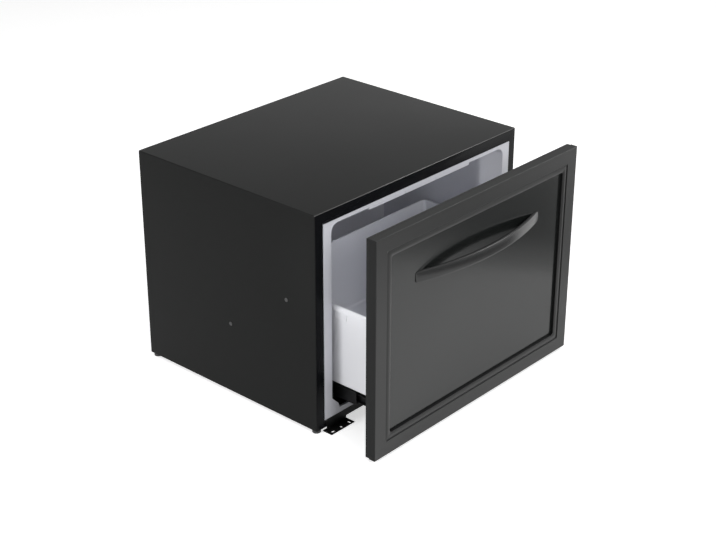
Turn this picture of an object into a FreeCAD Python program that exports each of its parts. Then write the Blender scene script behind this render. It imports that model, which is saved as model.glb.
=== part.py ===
import FreeCAD, Part
import math
import os
import re
import Sketcher
from FreeCAD import Rotation, Vector

# Drawer minibar fridge: a low black cabinet that stands in hotel furniture.
# One insulated drawer front runs out on ball slides with a white bin behind it.
#
# Frame: +X to the right of the cabinet, +Y to its back, +Z up, millimetres.
# The origin lies on the floor, midway between the two round fixing holes.
# The pieces are drawn in the closed cabinet's own frame: y is zero on its
# front plane and z is zero under its base. settle() then moves each piece to
# its place at rest, where the drawer stands partly open.

# Driving sizes of the cabinet body
SIZES = {
    "BodyWidth": 550.0,
    "BodyDepth": 436.0,
    "BodyHeight": 415.0,
    "FootHeight": 7.0,
    "ShellSheet": 0.8,
    "ShellBend": 2.0,
    "ReturnWidth": 24.0,
    "BaseLip": 22.0,
    "SeamClear": 0.3,
    "CutOverrun": 5.0,
    # Liner, foam and the wall in front of the machine compartment
    "LinerWall": 1.5,
    "WallSide": 39.0,
    "OpeningLow": 26.0,
    "WallTop": 28.0,
    "BehindLiner": 146.0,
    "FlangeSide": 19.0,
    "FlangeLow": 10.0,
    "FlangeHigh": 6.0,
    "LinerTopRadius": 16.0,
    "LedgeWidth": 19.0,
    "LedgeStep": 10.0,
    "LedgeHeight": 26.0,
    "FoamBack": 29.0,
    "FoamClear": 0.2,
    "RearWallSheet": 0.6,
    "TubeHoleClear": 0.3,
    # Feet and the two fixing brackets that reach out under the front
    "FootRadius": 8.0,
    "FootInset": 9.5,
    "FootBolt": 2.5,
    "FootBoltLength": 9.0,
    "BracketSheet": 1.5,
    "BracketInset": 18.0,
    "BracketWidth": 60.0,
    "BracketShoulder": 10.0,
    "BracketReach": 19.0,
    "BracketTail": 38.0,
    "BracketRiser": 1.0,
    "FixReach": 13.0,
    "FixHole": 2.5,
    "FixHoleIn": 31.0,
    "SlotHalf": 2.0,
    "SlotLength": 4.0,
    "SlotOuterOffset": 21.5,
    "SlotInnerOffset": 21.5,
    # Screws: shank and head, used wherever sheet metal is screwed
    "ScrewShank": 1.9,
    "ScrewHead": 3.6,
    "ScrewHeadThick": 2.2,
    "ScrewLength": 8.0,
    "ScrewClear": 0.1,
    "PlugRadius": 4.0,
    "PlugHead": 0.9,
    "PlugShank": 2.6,
    "PlugLength": 7.0,
    "PlugFrontY": 68.6,
    "PlugFrontZ": 237.5,
    "PlugBackY": 210.0,
    "PlugBackZ": 141.0,
    # Drawer travel and the door's thickness, layer by layer
    "DrawerOpening": 106.0,
    "DoorGap": 10.0,
    "DoorOverlap": 3.0,
    "DoorTopGap": 2.0,
    "DoorDrop": 1.0,
    "FrameDepth": 14.0,
    "FrameBand": 27.0,
    "GrooveWidth": 1.6,
    "GrooveDepth": 1.2,
    "InnerBand": 11.0,
    "InnerBandDrop": 0.8,
    "RecessDepth": 6.0,
    "RecessRadius": 5.0,
    "FrameRound": 1.0,
    "PanelSheet": 1.2,
    "PanelLap": 5.0,
    "PanelClear": 0.3,
    "TrayDepth": 8.5,
    "TrayInset": 0.8,
    "TraySheet": 0.8,
    "TrayFlange": 22.0,
    # Inner door shell, its gasket and the switch magnet
    "BackSheet": 1.2,
    "BackInset": 10.0,
    "PlugSideClear": 6.0,
    "PlugDeckGap": 5.0,
    "PlugTopClear": 13.0,
    "PlugDepth": 28.8,
    "PlugCorner": 8.0,
    "GasketWidth": 12.0,
    "GasketThick": 6.9,
    "GasketSideLap": 4.0,
    "GasketLowLap": 3.0,
    "GasketHighLap": 3.0,
    "GasketBulge": 2.0,
    "MagnetWidth": 20.0,
    "MagnetThick": 4.0,
    "MagnetHeight": 9.0,
    "MagnetRise": 2.0,
    # Bow handle
    "HandleSide": 106.0,
    "HandleHeight": 20.0,
    "HandleReach": 30.0,
    "HandleThick": 8.0,
    "HandleFoot": 20.0,
    "HandleDrop": 105.0,
    "HandleRound": 3.0,
    "HandleTip": 6.0,
    "HandleScrewShank": 2.0,
    "HandleScrewHead": 4.0,
    "HandleScrewBite": 3.0,
    # Bin and the steel carriage under it
    "BinSideClear": 10.0,
    "BinWall": 2.5,
    "BinFloor": 2.5,
    "BinHeight": 157.0,
    "BinGap": 1.0,
    "BinBackClear": 7.0,
    "BinCorner": 12.0,
    "RimReach": 4.0,
    "RimHeight": 10.0,
    "CarriageSheet": 1.2,
    "DeckTop": 77.0,
    "DeckBackClear": 10.0,
    "CarriageSkirt": 33.0,
    "CarriageFrontLow": 36.0,
    # Three-part ball slides
    "RailStandoff": 21.0,
    "RailWidth": 12.7,
    "RailHalf": 17.5,
    "RailCentre": 54.5,
    "RailBackClear": 24.0,
    "RailFront": 16.0,
    "RailSheet": 1.2,
    "OuterFlange": 10.5,
    "MiddleWeb": 2.4,
    "MiddleHalf": 12.8,
    "MiddleFlange": 11.0,
    "InnerHalf": 8.1,
    "InnerFlange": 5.2,
    "CageSheet": 0.6,
    "CageLength": 100.0,
    "OuterCageWeb": 1.5,
    "InnerCageWeb": 4.0,
    "CageLip": 0.1,
    "BallCount": 5,
    "BallRadius": 1.6,
    "BallRoom": 0.1,
    "OuterBallDepth": 6.5,
    "InnerBallDepth": 7.8,
    "RunnerSheet": 1.5,
    "RunnerFoot": 150.0,
    "RunnerFootFront": 3.0,
    "RunnerScrewSide": 10.0,
    "RunnerScrewIn": 30.0,
    # Control housing under the ceiling, lamp, thermostat and door switch
    "HousingHalf": 137.0,
    "HousingFront": 1.0,
    "HousingBack": 82.0,
    "HousingLip": 6.0,
    "HousingDrop": 22.0,
    "HousingLipDepth": 13.0,
    "HousingRamp": 16.0,
    "HousingWall": 2.0,
    "BossRadius": 4.0,
    "BossIn": 17.0,
    "BossDepth": 56.0,
    "LensHalf": 38.0,
    "LensFront": 36.0,
    "LensBack": 78.0,
    "LensRim": 2.0,
    "LensSheet": 1.2,
    "LensPost": 2.0,
    "LensPostIn": 6.0,
    "BoardSheet": 1.2,
    "LedSize": 4.0,
    "LedThick": 0.8,
    "LedPitch": 18.0,
    "DialIn": 42.0,
    "DialRadius": 13.0,
    "DialHeight": 8.0,
    "DialGap": 0.5,
    "DialRidge": 1.6,
    "SpindleRadius": 3.0,
    "SpindleClear": 0.06,
    "SpindleEnd": 1.5,
    "StatHalf": 14.0,
    "StatHeight": 14.0,
    "SwitchLength": 20.0,
    "SwitchDepth": 5.0,
    "SwitchHeight": 3.0,
    # Evaporator, its tube and the drip channel under it
    "PlateSideClear": 66.0,
    "PlateTopClear": 35.0,
    "PlateHeight": 107.0,
    "PlateStandoff": 12.0,
    "PlateSheet": 1.5,
    "EvapTube": 2.5,
    "TubeBend": 13.0,
    "StandoffIn": 5.0,
    "StandoffRadius": 3.5,
    "ChannelDrop": 9.0,
    "ChannelReach": 2.5,
    "ChannelLip": 4.5,
    "ChannelSheet": 0.8,
    "DrainRadius": 1.9,
    "DrainWall": 0.6,
    "DrainIn": 9.0,
    # Machine compartment at the back
    "PumpAcross": 120.0,
    "PumpInset": 55.0,
    "PumpRadius": 44.0,
    "PumpLow": 16.0,
    "PumpHeight": 118.0,
    "PumpDome": 20.0,
    "PumpFootSheet": 2.0,
    "PumpFootHalf": 58.0,
    "PumpFootDepth": 42.0,
    "GrommetRadius": 8.0,
    "GrommetIn": 9.0,
    "GrommetNeck": 5.0,
    "BoltRadius": 3.0,
    "BoltHead": 6.0,
    "BoltHeadThick": 3.0,
    "RelayWidth": 22.0,
    "RelayHalf": 17.0,
    "RelayHeight": 42.0,
    "RelayRise": 40.0,
    "RelayWall": 1.5,
    "TrayWall": 1.5,
    "TrayHeight": 16.0,
    "TrayRadius": 46.0,
    "CondTube": 2.4,
    "CondLeft": 42.0,
    "CondSideClear": 31.0,
    "CondLow": 70.0,
    "CondTopClear": 75.0,
    "CondInset": 16.0,
    "CondRows": 10,
    "WireRadius": 0.8,
    "WireCount": 18,
    "ClipWidth": 12.0,
    "DrierRadius": 9.0,
    "DrierLength": 80.0,
    "DrierAcross": 12.0,
    "DrierLow": 60.0,
    "DrierCone": 9.0,
    "PipeRadius": 2.4,
    "CapillaryRadius": 1.2,
    "PipeBend": 12.0,
    "InletSide": 61.0,
    "InletHalf": 14.0,
    "InletLow": 18.0,
    "InletHeight": 22.0,
    "InletDepth": 22.0,
    "InletFlange": 7.0,
    "InletFlangeSheet": 2.0,
    "InletWall": 2.0,
    "PinSize": 2.0,
    "PinLength": 12.0,
    "PinPitch": 7.0,
    "LouvreCount": 17,
    "LouvreSide": 95.0,
    "LouvreHeight": 5.0,
    "LouvreLow": 60.0,
    "BackLap": 12.0,
}

# Lengths that several pieces share, worked out from the driving sizes
PLACES = {
    "HalfWidth": "BodyWidth / 2",
    "InsideHalf": "HalfWidth - ShellSheet",
    "OpeningHalf": "HalfWidth - WallSide",
    "OpeningHigh": "BodyHeight - WallTop",
    "LinerDepth": "BodyDepth - BehindLiner",
    "FlangeFront": "0 - LinerWall",
    "FoamEnd": "LinerDepth + LinerWall + FoamBack",
    "WallBack": "FoamEnd + RearWallSheet",
    "RoomBack": "BodyDepth - ShellSheet",
    "BracketOuter": "HalfWidth - BracketInset",
    "BracketInner": "BracketOuter - BracketWidth",
    "BracketNeck": "BracketOuter - BracketShoulder",
    "FixHalfSpan": "BracketOuter - FixHoleIn",
    "DoorBack": "0 - DoorGap",
    "DoorFront": "DoorBack - TrayDepth - FrameDepth",
    "DoorHalf": "HalfWidth + DoorOverlap",
    "DoorLow": "0 - DoorDrop",
    "DoorHigh": "BodyHeight - DoorTopGap",
    "FrameBack": "DoorFront + FrameDepth",
    "RecessInset": "FrameBand + GrooveWidth + InnerBand",
    "PanelFace": "DoorFront + RecessDepth",
    "PanelBack": "PanelFace + PanelSheet",
    "BackFace": "DoorBack + BackSheet",
    "PlugEnd": "BackFace + PlugDepth",
    "PlugHalf": "OpeningHalf - PlugSideClear",
    "PlugLow": "DeckTop + PlugDeckGap",
    "PlugHigh": "OpeningHigh - PlugTopClear",
    "HandleLength": "(DoorHalf - HandleSide) * 2",
    "HandleRise": "DoorHigh - HandleDrop",
    "RailFace": "OpeningHalf - RailStandoff",
    "RailLength": "LinerDepth - RailFront - RailBackClear",
    "RunnerFace": "RailFace + RunnerSheet",
    "RailInside": "RailFace - RailWidth",
    "CarriageHalf": "RailInside",
    "RimTop": "DeckTop + BinHeight",
    "BinFront": "PlugEnd + RimReach + BinGap",
    "BinHalf": "OpeningHalf - BinSideClear",
    "BinBack": "LinerDepth - BinBackClear",
    "DeckBack": "LinerDepth - DeckBackClear",
    "HousingLow": "OpeningHigh - HousingDrop",
    "HousingFloor": "HousingLow + HousingWall",
    "BossAcross": "HousingHalf - BossIn",
    "DialAcross": "HousingHalf - DialIn",
    "DialDepth": "BossDepth",
    "PlateHalf": "OpeningHalf - PlateSideClear",
    "PlateHigh": "OpeningHigh - PlateTopClear",
    "PlateLow": "PlateHigh - PlateHeight",
    "PlateFront": "LinerDepth - PlateStandoff",
    "PlateBack": "PlateFront + PlateSheet",
    "TubeLine": "PlateBack + EvapTube",
    "ChannelLow": "PlateLow - ChannelDrop",
    "ChannelHigh": "ChannelLow + ChannelLip",
    "ChannelFront": "PlateFront - ChannelReach",
    "PumpDepth": "BodyDepth - PumpInset",
    "PumpTop": "PumpLow + PumpHeight",
    "CondRight": "HalfWidth - CondSideClear",
    "CondHigh": "BodyHeight - CondTopClear",
    "CondPitch": "(CondHigh - CondLow) / (CondRows - 1)",
    "CondDepth": "BodyDepth - CondInset",
    "InletAcross": "HalfWidth - InletSide",
    "LouvreHalf": "HalfWidth - LouvreSide",
    "LouvrePitch": "(BodyHeight - LouvreLow * 2 - LouvreHeight) / (LouvreCount - 1)",
}

document = FreeCAD.newDocument("DrawerFridge")
sheet = document.addObject("Spreadsheet::Sheet", "Dimensions")
for row, (alias, number) in enumerate(SIZES.items(), start=1):
    sheet.set(f"A{row}", alias)
    sheet.set(f"B{row}", str(number))
    sheet.setAlias(f"B{row}", alias)
document.recompute()

NODES = []


def formula(text):
    """Writes a formula in the sheet's own names, with the shared places worked in."""

    def swap(found):
        word = found.group(0)
        if word in PLACES:
            return f"({formula(PLACES[word])})"
        return f"Dimensions.{word}" if word in SIZES else word

    return re.sub(r"[A-Za-z]\w*", swap, text)


def value(text):
    """Gives the number that a formula has now."""
    return float(sheet.evalExpression(formula(text)))


def bind(piece, **properties):
    """Ties properties of a piece to formulas; a double underscore stands for a dot."""
    for path, text in properties.items():
        piece.setExpression(path.replace("__", "."), formula(text))


def seat(piece, corner):
    """Ties the three coordinates of a piece's own place to formulas."""
    for axis, text in zip("xyz", corner):
        piece.setExpression(f"Placement.Base.{axis}", formula(text))


def block(name, x, y, z):
    """A box between two formulas on each axis."""
    piece = document.addObject("Part::Box", name)
    bind(piece, Length=f"{x[1]} - ({x[0]})", Width=f"{y[1]} - ({y[0]})", Height=f"{z[1]} - ({z[0]})")
    seat(piece, (x[0], y[0], z[0]))
    return piece


TURNS = {"x": Rotation(Vector(0, 1, 0), 90), "y": Rotation(Vector(1, 0, 0), -90), "z": Rotation()}


def rod(name, axis, radius, centre, span):
    """A round bar along one axis, centred on two formulas and running between two."""
    piece = document.addObject("Part::Cylinder", name)
    piece.Placement.Rotation = TURNS[axis]
    bind(piece, Radius=radius, Height=f"{span[1]} - ({span[0]})")
    corner = list(centre)
    corner.insert("xyz".index(axis), span[0])
    seat(piece, corner)
    return piece


def cone(name, axis, low_radius, high_radius, centre, span):
    """A tapered bar along one axis."""
    piece = document.addObject("Part::Cone", name)
    piece.Placement.Rotation = TURNS[axis]
    bind(piece, Radius1=low_radius, Radius2=high_radius, Height=f"{span[1]} - ({span[0]})")
    corner = list(centre)
    corner.insert("xyz".index(axis), span[0])
    seat(piece, corner)
    return piece


def cut(name, base, tools):
    """Takes the tools away from the base."""
    tool = tools[0] if len(tools) == 1 else fuse(name + "_tools", tools)
    piece = document.addObject("Part::Cut", name)
    piece.Base = base
    piece.Tool = tool
    return piece


def fuse(name, pieces):
    """Joins pieces that touch into one solid."""
    piece = document.addObject("Part::MultiFuse", name)
    piece.Shapes = pieces
    piece.Refine = True
    return piece


def group(name, pieces):
    """Keeps like pieces, such as screws, together as separate solids."""
    piece = document.addObject("Part::Compound", name)
    piece.Links = pieces
    return piece


def outline(name, plane, points, span):
    """Pads a closed outline, whose corners are tied to formulas, between two formulas."""
    body = document.addObject("PartDesign::Body", name)
    sketch = body.newObject("Sketcher::SketchObject", name + "_sketch")
    face = next(one for one in body.Origin.OriginFeatures if one.Role == plane)
    sketch.AttachmentSupport = (face, [""])
    sketch.MapMode = "FlatFace"
    flip = -1 if plane == "XZ_Plane" else 1
    sketch.setExpression("AttachmentOffset.Base.z", formula(f"{flip} * ({span[0]})"))
    corners = [Vector(value(a), value(b), 0) for a, b in points]
    count = len(points)
    for index, corner in enumerate(corners):
        sketch.addGeometry(Part.LineSegment(corner, corners[(index + 1) % count]))
    for index, (across, up) in enumerate(points):
        sketch.addConstraint(Sketcher.Constraint("Coincident", index, 2, (index + 1) % count, 1))
        for kind, text, number in (
            ("DistanceX", across, corners[index].x),
            ("DistanceY", up, corners[index].y),
        ):
            tie = sketch.addConstraint(Sketcher.Constraint(kind, -1, 1, index, 1, number))
            sketch.setExpression(f"Constraints[{tie}]", formula(text))
    pad = body.newObject("PartDesign::Pad", name + "_pad")
    pad.Profile = sketch
    pad.Reversed = plane == "XZ_Plane"
    pad.setExpression("Length", formula(f"{span[1]} - ({span[0]})"))
    body.Tip = pad
    return body


def rounded(name, base, radius, wanted):
    """Rounds the edges of a piece that a test picks out."""
    document.recompute()
    piece = document.addObject("Part::Fillet", name)
    piece.Base = base
    size = value(radius)
    piece.Edges = [
        (index, size, size)
        for index, edge in enumerate(base.Shape.Edges, start=1)
        if wanted(edge.BoundBox)
    ]
    return piece


def runs_along(axis):
    """A test for straight edges along one axis."""
    others = [letter for letter in "XYZ" if letter != axis]
    return lambda box: all(getattr(box, letter + "Length") < TOUCH for letter in others)


TOUCH = 1e-4


def settle(piece, label, travel_share=0):
    """Names a finished piece and moves it from the closed cabinet's frame to its rest."""
    bound = {path.lstrip("."): text for path, text in piece.ExpressionEngine}
    piece.Label = label
    steps = {"y": f"FixReach - {travel_share} * DrawerOpening", "z": "FootHeight"}
    for axis, step in steps.items():
        path = f"Placement.Base.{axis}"
        piece.setExpression(path, f"{bound.get(path, '0')} + {formula(step)}")
    NODES.append(piece)
    return piece


def mirrored(side, low, high):
    """A span across the cabinet, measured outwards from its middle, on one side."""
    return (low, high) if side > 0 else (f"-({high})", f"-({low})")


SIDES = {"left": -1, "right": 1}


def screw(name, axis, centre, head, turn, length="ScrewLength"):
    """A pan-head screw: its head starts at a face and its shank runs the other way."""
    across = f"{head} + {turn} * ScrewHeadThick"
    down = f"{head} - {turn} * ({length})"
    ends = (head, across) if turn > 0 else (across, head)
    shaft = (down, head) if turn > 0 else (head, down)
    top = rod(name + "_head", axis, "ScrewHead", centre, ends)
    shank = rod(name + "_shank", axis, "ScrewShank", centre, shaft)
    return fuse(name, [top, shank])


def make_outer_shell():
    """Folded steel wrap: two sides and the top, with a return that frames the front."""
    box = block(
        "shell_box",
        ("-HalfWidth", "HalfWidth"),
        ("0", "BodyDepth"),
        ("0", "BodyHeight"),
    )

    def folded(bounds):
        top = bounds.ZMin > value("BodyHeight") - TOUCH
        front = bounds.YMax < TOUCH
        long_edge = bounds.YLength > value("BodyDepth") - TOUCH
        upright = bounds.ZLength > value("BodyHeight") - TOUCH
        return (front and (upright or top)) or (top and long_edge)

    outer = rounded("shell_round", box, "ShellBend", folded)
    room = block(
        "shell_room",
        ("-InsideHalf", "InsideHalf"),
        ("ShellSheet", "BodyDepth + CutOverrun"),
        ("0 - CutOverrun", "BodyHeight - ShellSheet"),
    )
    mouth = block(
        "shell_mouth",
        ("-(HalfWidth - ReturnWidth)", "HalfWidth - ReturnWidth"),
        ("0 - CutOverrun", "ShellSheet + CutOverrun"),
        ("0 - CutOverrun", "BodyHeight - ReturnWidth"),
    )
    holes = [
        rod(
            f"shell_hole_{side}_{end}",
            "x",
            "PlugShank + ScrewClear",
            (f"Plug{end}Y", f"Plug{end}Z"),
            mirrored(turn, "InsideHalf - CutOverrun", "HalfWidth + CutOverrun"),
        )
        for side, turn in SIDES.items()
        for end in ("Front", "Back")
    ]
    settle(cut("shell", outer, [room, mouth] + holes), "outer_shell")


def make_side_plugs():
    """Domed plugs in the shell's side holes."""
    plugs = []
    for side, turn in SIDES.items():
        for end in ("Front", "Back"):
            centre = (f"Plug{end}Y", f"Plug{end}Z")
            name = f"plug_{side}_{end}"
            head_span = mirrored(turn, "HalfWidth", "HalfWidth + PlugHead")
            radii = ("PlugRadius", "PlugRadius - PlugHead / 2")
            low, high = radii if turn > 0 else radii[::-1]
            head = cone(name + "_head", "x", low, high, centre, head_span)
            shank = rod(
                name + "_shank",
                "x",
                "PlugShank",
                centre,
                mirrored(turn, "HalfWidth - PlugLength", "HalfWidth"),
            )
            plugs.append(fuse(name, [head, shank]))
    settle(group("plugs", plugs), "side_plugs")


def make_base_panel():
    """Steel floor sheet with a front lip that closes the frame below the drawer."""
    floor = block(
        "base_floor",
        ("-InsideHalf", "InsideHalf"),
        ("ShellSheet", "RoomBack"),
        ("0", "ShellSheet"),
    )
    lip_half = "HalfWidth - ReturnWidth - SeamClear"
    lip = block("base_lip", (f"-({lip_half})", lip_half), ("0", "ShellSheet"), ("0", "BaseLip"))
    holes = [
        rod(f"base_hole_{index}", "z", "FootBolt + ScrewClear", (x, y), ("0 - CutOverrun", "CutOverrun"))
        for index, (x, y) in enumerate(foot_places())
    ]
    holes += [
        rod(
            f"base_bracket_hole_{index}",
            "z",
            "ScrewShank + ScrewClear",
            (x, y),
            ("0 - CutOverrun", "CutOverrun"),
        )
        for index, (x, y) in enumerate(bracket_screw_places())
    ]
    holes += [
        rod(
            f"base_pump_hole_{index}",
            "z",
            "BoltRadius + ScrewClear",
            (x, y),
            ("0 - CutOverrun", "CutOverrun"),
        )
        for index, (x, y) in enumerate(grommet_places())
    ]
    settle(cut("base", fuse("base_folded", [floor, lip]), holes), "base_panel")


def foot_places():
    """The four feet, set in from the sides and from the front and the back."""
    inset = "HalfWidth - FootInset"
    return [(x, y) for x in (f"-({inset})", inset) for y in ("FootInset", "BodyDepth - FootInset")]


def bracket_screw_places():
    """Two screws through the tail of each fixing bracket."""
    middle = "(BracketNeck + BracketInner) / 2"
    return [
        (f"{turn} * ({middle})", f"BracketTail * {share}")
        for turn in SIDES.values()
        for share in BRACKET_SCREW_SHARES
    ]


BRACKET_SCREW_SHARES = (0.4, 0.8)


def grommet_places():
    """The four rubber mounts under the corners of the compressor's feet."""
    return [
        (
            f"-PumpAcross + {across} * (PumpFootHalf - GrommetIn)",
            f"PumpDepth + {deep} * (PumpFootDepth - GrommetIn)",
        )
        for across in (-1, 1)
        for deep in (-1, 1)
    ]


def make_feet():
    """Four round plastic feet on short pegs."""
    feet = []
    for index, place in enumerate(foot_places()):
        name = f"foot_{index}"
        pad = rod(name + "_pad", "z", "FootRadius", place, ("0 - FootHeight", "0"))
        peg = rod(name + "_peg", "z", "FootBolt", place, ("0", "FootBoltLength"))
        feet.append(fuse(name, [pad, peg]))
    settle(group("foot_group", feet), "feet")


def make_fixing_brackets():
    """Joggled steel brackets, screwed under the base, that fix the cabinet to its plinth."""
    for side, turn in SIDES.items():
        name = f"bracket_{side}"
        floor = ("0 - FootHeight", "0 - FootHeight + BracketSheet")
        riser = ("BracketRiser", "BracketRiser + BracketSheet")
        neck = mirrored(turn, "BracketInner", "BracketNeck")
        tab = block(
            name + "_tab",
            mirrored(turn, "BracketInner", "BracketOuter"),
            ("0 - BracketReach", riser[1]),
            floor,
        )
        wall = block(name + "_riser", neck, riser, ("0 - FootHeight", "0"))
        tail = block(name + "_tail", neck, (riser[0], "BracketTail"), ("0 - BracketSheet", "0"))
        deep = ("0 - FootHeight - CutOverrun", "0 - FootHeight + CutOverrun")
        line = "0 - FixReach"
        holes = [rod(name + "_hole", "z", "FixHole", (f"{turn} * FixHalfSpan", line), deep)]
        outer = f"{turn} * (FixHalfSpan + SlotOuterOffset)"
        inner = f"{turn} * (FixHalfSpan - SlotInnerOffset)"
        for end in (-1, 1):
            shift = f"{end} * SlotLength / 2"
            holes.append(rod(f"{name}_outer_{end}", "z", "SlotHalf", (f"{outer} + {shift}", line), deep))
            holes.append(rod(f"{name}_inner_{end}", "z", "SlotHalf", (inner, f"{line} + {shift}"), deep))
        holes.append(
            block(
                name + "_outer_slot",
                (f"{outer} - SlotLength / 2", f"{outer} + SlotLength / 2"),
                (f"{line} - SlotHalf", f"{line} + SlotHalf"),
                deep,
            )
        )
        holes.append(
            block(
                name + "_inner_slot",
                (f"{inner} - SlotHalf", f"{inner} + SlotHalf"),
                (f"{line} - SlotLength / 2", f"{line} + SlotLength / 2"),
                deep,
            )
        )
        holes += [
            rod(
                f"{name}_screw_{index}",
                "z",
                "ScrewShank + ScrewClear",
                (x, y),
                ("0 - CutOverrun", "CutOverrun"),
            )
            for index, (x, y) in enumerate(bracket_screw_places())
            if (value(x) > 0) == (turn > 0)
        ]
        settle(cut(name, fuse(name + "_folded", [tab, wall, tail]), holes), f"fixing_bracket_{side}")


def make_bracket_screws():
    """Screws that hold the brackets up against the base, heads down."""
    screws = [
        screw(f"bracket_screw_{index}", "z", place, "0 - BracketSheet", -1)
        for index, place in enumerate(bracket_screw_places())
    ]
    settle(group("bracket_screw_group", screws), "bracket_screws")


def liner_block(name, grow, front):
    """The hollow's own shape as a solid, grown outwards on every wall by one formula."""
    half = f"OpeningHalf + {grow}"
    ledge = f"LedgeWidth * {LEDGE_SLOPE_SHARE}"
    low = f"OpeningLow - {grow}"
    points = [
        (f"{half} - LedgeWidth", low),
        (f"{half} - {ledge}", "OpeningLow + LedgeStep"),
        (half, "OpeningLow + LedgeHeight"),
        (half, f"OpeningHigh + {grow}"),
    ]
    points += [(f"-({x})", z) for x, z in reversed(points)]
    body = outline(name, "XZ_Plane", points, (front, f"LinerDepth + {grow}"))
    document.recompute()
    pad = body.Tip
    top = value(f"OpeningHigh + {grow}") - TOUCH
    long_edges = [
        f"Edge{index}"
        for index, edge in enumerate(pad.Shape.Edges, start=1)
        if runs_along("Y")(edge.BoundBox) and edge.BoundBox.ZMin > top
    ]
    corners = body.newObject("PartDesign::Fillet", name + "_corners")
    corners.Base = (pad, long_edges)
    corners.setExpression("Radius", formula(f"LinerTopRadius + {grow}"))
    body.Tip = corners
    return body


LEDGE_SLOPE_SHARE = 0.84


def tube_holes(name, grow):
    """Holes through the back wall for the evaporator's two ends and the drain."""
    through = ("LinerDepth - CutOverrun", "WallBack + CutOverrun")
    holes = [
        rod(f"{name}_tube_{index}", "y", f"EvapTube + {grow}", place, through)
        for index, place in enumerate(tube_ends())
    ]
    holes.append(rod(name + "_drain", "y", f"DrainRadius + {grow}", ("-PumpAcross", drain_line()), through))
    return holes


def tube_ends():
    """Where the evaporator's tube leaves through the back wall: inlet above, outlet below."""
    across = "-(PlateHalf - TubeBend)"
    return [(across, evaporator_row(0)), (across, evaporator_row(EVAP_ROWS - 1))]


EVAP_ROWS = 4


def evaporator_row(row):
    """Height of one straight run of the evaporator's tube."""
    return f"PlateLow + TubeBend + {row} * (PlateHigh - PlateLow - 2 * TubeBend) / {EVAP_ROWS - 1}"


def drain_line():
    """Height of the drain's axis, half way up the channel's back."""
    return "ChannelLow + ChannelLip / 2"


def standoff_places():
    """The corners of the evaporator plate, where it stands off the back wall."""
    return [
        (f"{across} * (PlateHalf - StandoffIn)", z)
        for across in (-1, 1)
        for z in ("PlateLow + StandoffIn", "PlateHigh - StandoffIn")
    ]


def make_liner():
    """Vacuum-formed light grey tub with a flat flange round its mouth."""
    outer = liner_block("liner_outer", "LinerWall", "0 - LinerWall / 2")
    inner = liner_block("liner_inner", "0", "0 - CutOverrun")
    flange = block(
        "liner_flange",
        ("-(OpeningHalf + FlangeSide)", "OpeningHalf + FlangeSide"),
        ("FlangeFront", "0"),
        ("OpeningLow - FlangeLow", "OpeningHigh + FlangeHigh"),
    )
    holes = [
        rod(
            f"liner_stud_{index}",
            "y",
            "ScrewShank + ScrewClear",
            place,
            ("LinerDepth - CutOverrun", "LinerDepth + CutOverrun"),
        )
        for index, place in enumerate(standoff_places())
    ]
    holes += [
        rod(
            f"liner_floor_{index}",
            "z",
            "ScrewShank + ScrewClear",
            place,
            ("OpeningLow - CutOverrun", "OpeningLow + CutOverrun / 2"),
        )
        for index, place in enumerate(runner_foot_screws())
    ]
    holes += [
        rod(
            f"liner_roof_{index}",
            "z",
            "ScrewShank + ScrewClear",
            place,
            ("OpeningHigh - CutOverrun", "OpeningHigh + CutOverrun"),
        )
        for index, place in enumerate(housing_screws())
    ]
    shell = fuse("liner_solid", [outer, flange])
    settle(cut("liner_tub", shell, [inner] + holes + tube_holes("liner", "TubeHoleClear")), "liner")


def runner_foot_screws():
    """Two screws in the foot of each runner bracket."""
    across = "RunnerFace - RunnerScrewSide"
    return [
        (f"{turn} * ({across})", y)
        for turn in SIDES.values()
        for y in ("RailFront + RunnerScrewIn", "RailFront + RailLength - RunnerScrewIn")
    ]


def housing_screws():
    """The two screws that hold the control housing up."""
    return [(f"{turn} * BossAcross", "BossDepth") for turn in (-1, 1)]


def make_insulation():
    """Rigid foam that fills the space between the liner and the steel."""
    low = "ShellSheet"
    slab = block(
        "foam_slab",
        ("-InsideHalf", "InsideHalf"),
        ("ShellSheet", "FoamEnd"),
        (low, "BodyHeight - ShellSheet"),
    )
    core = liner_block("foam_core", "(LinerWall + FoamClear)", "0 - CutOverrun")
    room = "ScrewShank + ScrewClear"
    holes = [
        rod(f"foam_foot_{index}", "z", "FootBolt + ScrewClear", place, ("0", "FootBoltLength + ScrewClear"))
        for index, place in enumerate(foot_places()[::2])
    ]
    holes += [
        rod(f"foam_bracket_{index}", "z", room, place, ("0", "ScrewLength"))
        for index, place in enumerate(bracket_screw_places())
    ]
    holes += [
        rod(f"foam_runner_{index}", "z", room, place, ("OpeningLow - ScrewLength", "OpeningLow"))
        for index, place in enumerate(runner_foot_screws())
    ]
    holes += [
        rod(f"foam_roof_{index}", "z", room, place, ("OpeningHigh", "OpeningHigh + ScrewLength"))
        for index, place in enumerate(housing_screws())
    ]
    holes += [
        rod(f"foam_stud_{index}", "y", room, place, ("LinerDepth", "LinerDepth + ScrewLength"))
        for index, place in enumerate(standoff_places())
    ]
    holes += [
        rod(
            f"foam_plug_{side}_{end}",
            "x",
            "PlugShank + ScrewClear",
            (f"Plug{end}Y", f"Plug{end}Z"),
            mirrored(turn, "HalfWidth - PlugLength - ScrewClear", "HalfWidth"),
        )
        for side, turn in SIDES.items()
        for end in ("Front", "Back")
    ]
    settle(cut("foam", slab, [core] + holes + tube_holes("foam", "TubeHoleClear")), "insulation")


def make_rear_wall():
    """Thin steel wall between the foam and the machine compartment."""
    wall = block(
        "wall_sheet",
        ("-InsideHalf", "InsideHalf"),
        ("FoamEnd", "WallBack"),
        ("ShellSheet", "BodyHeight - ShellSheet"),
    )
    settle(cut("wall", wall, tube_holes("wall", "TubeHoleClear")), "rear_wall")


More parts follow.
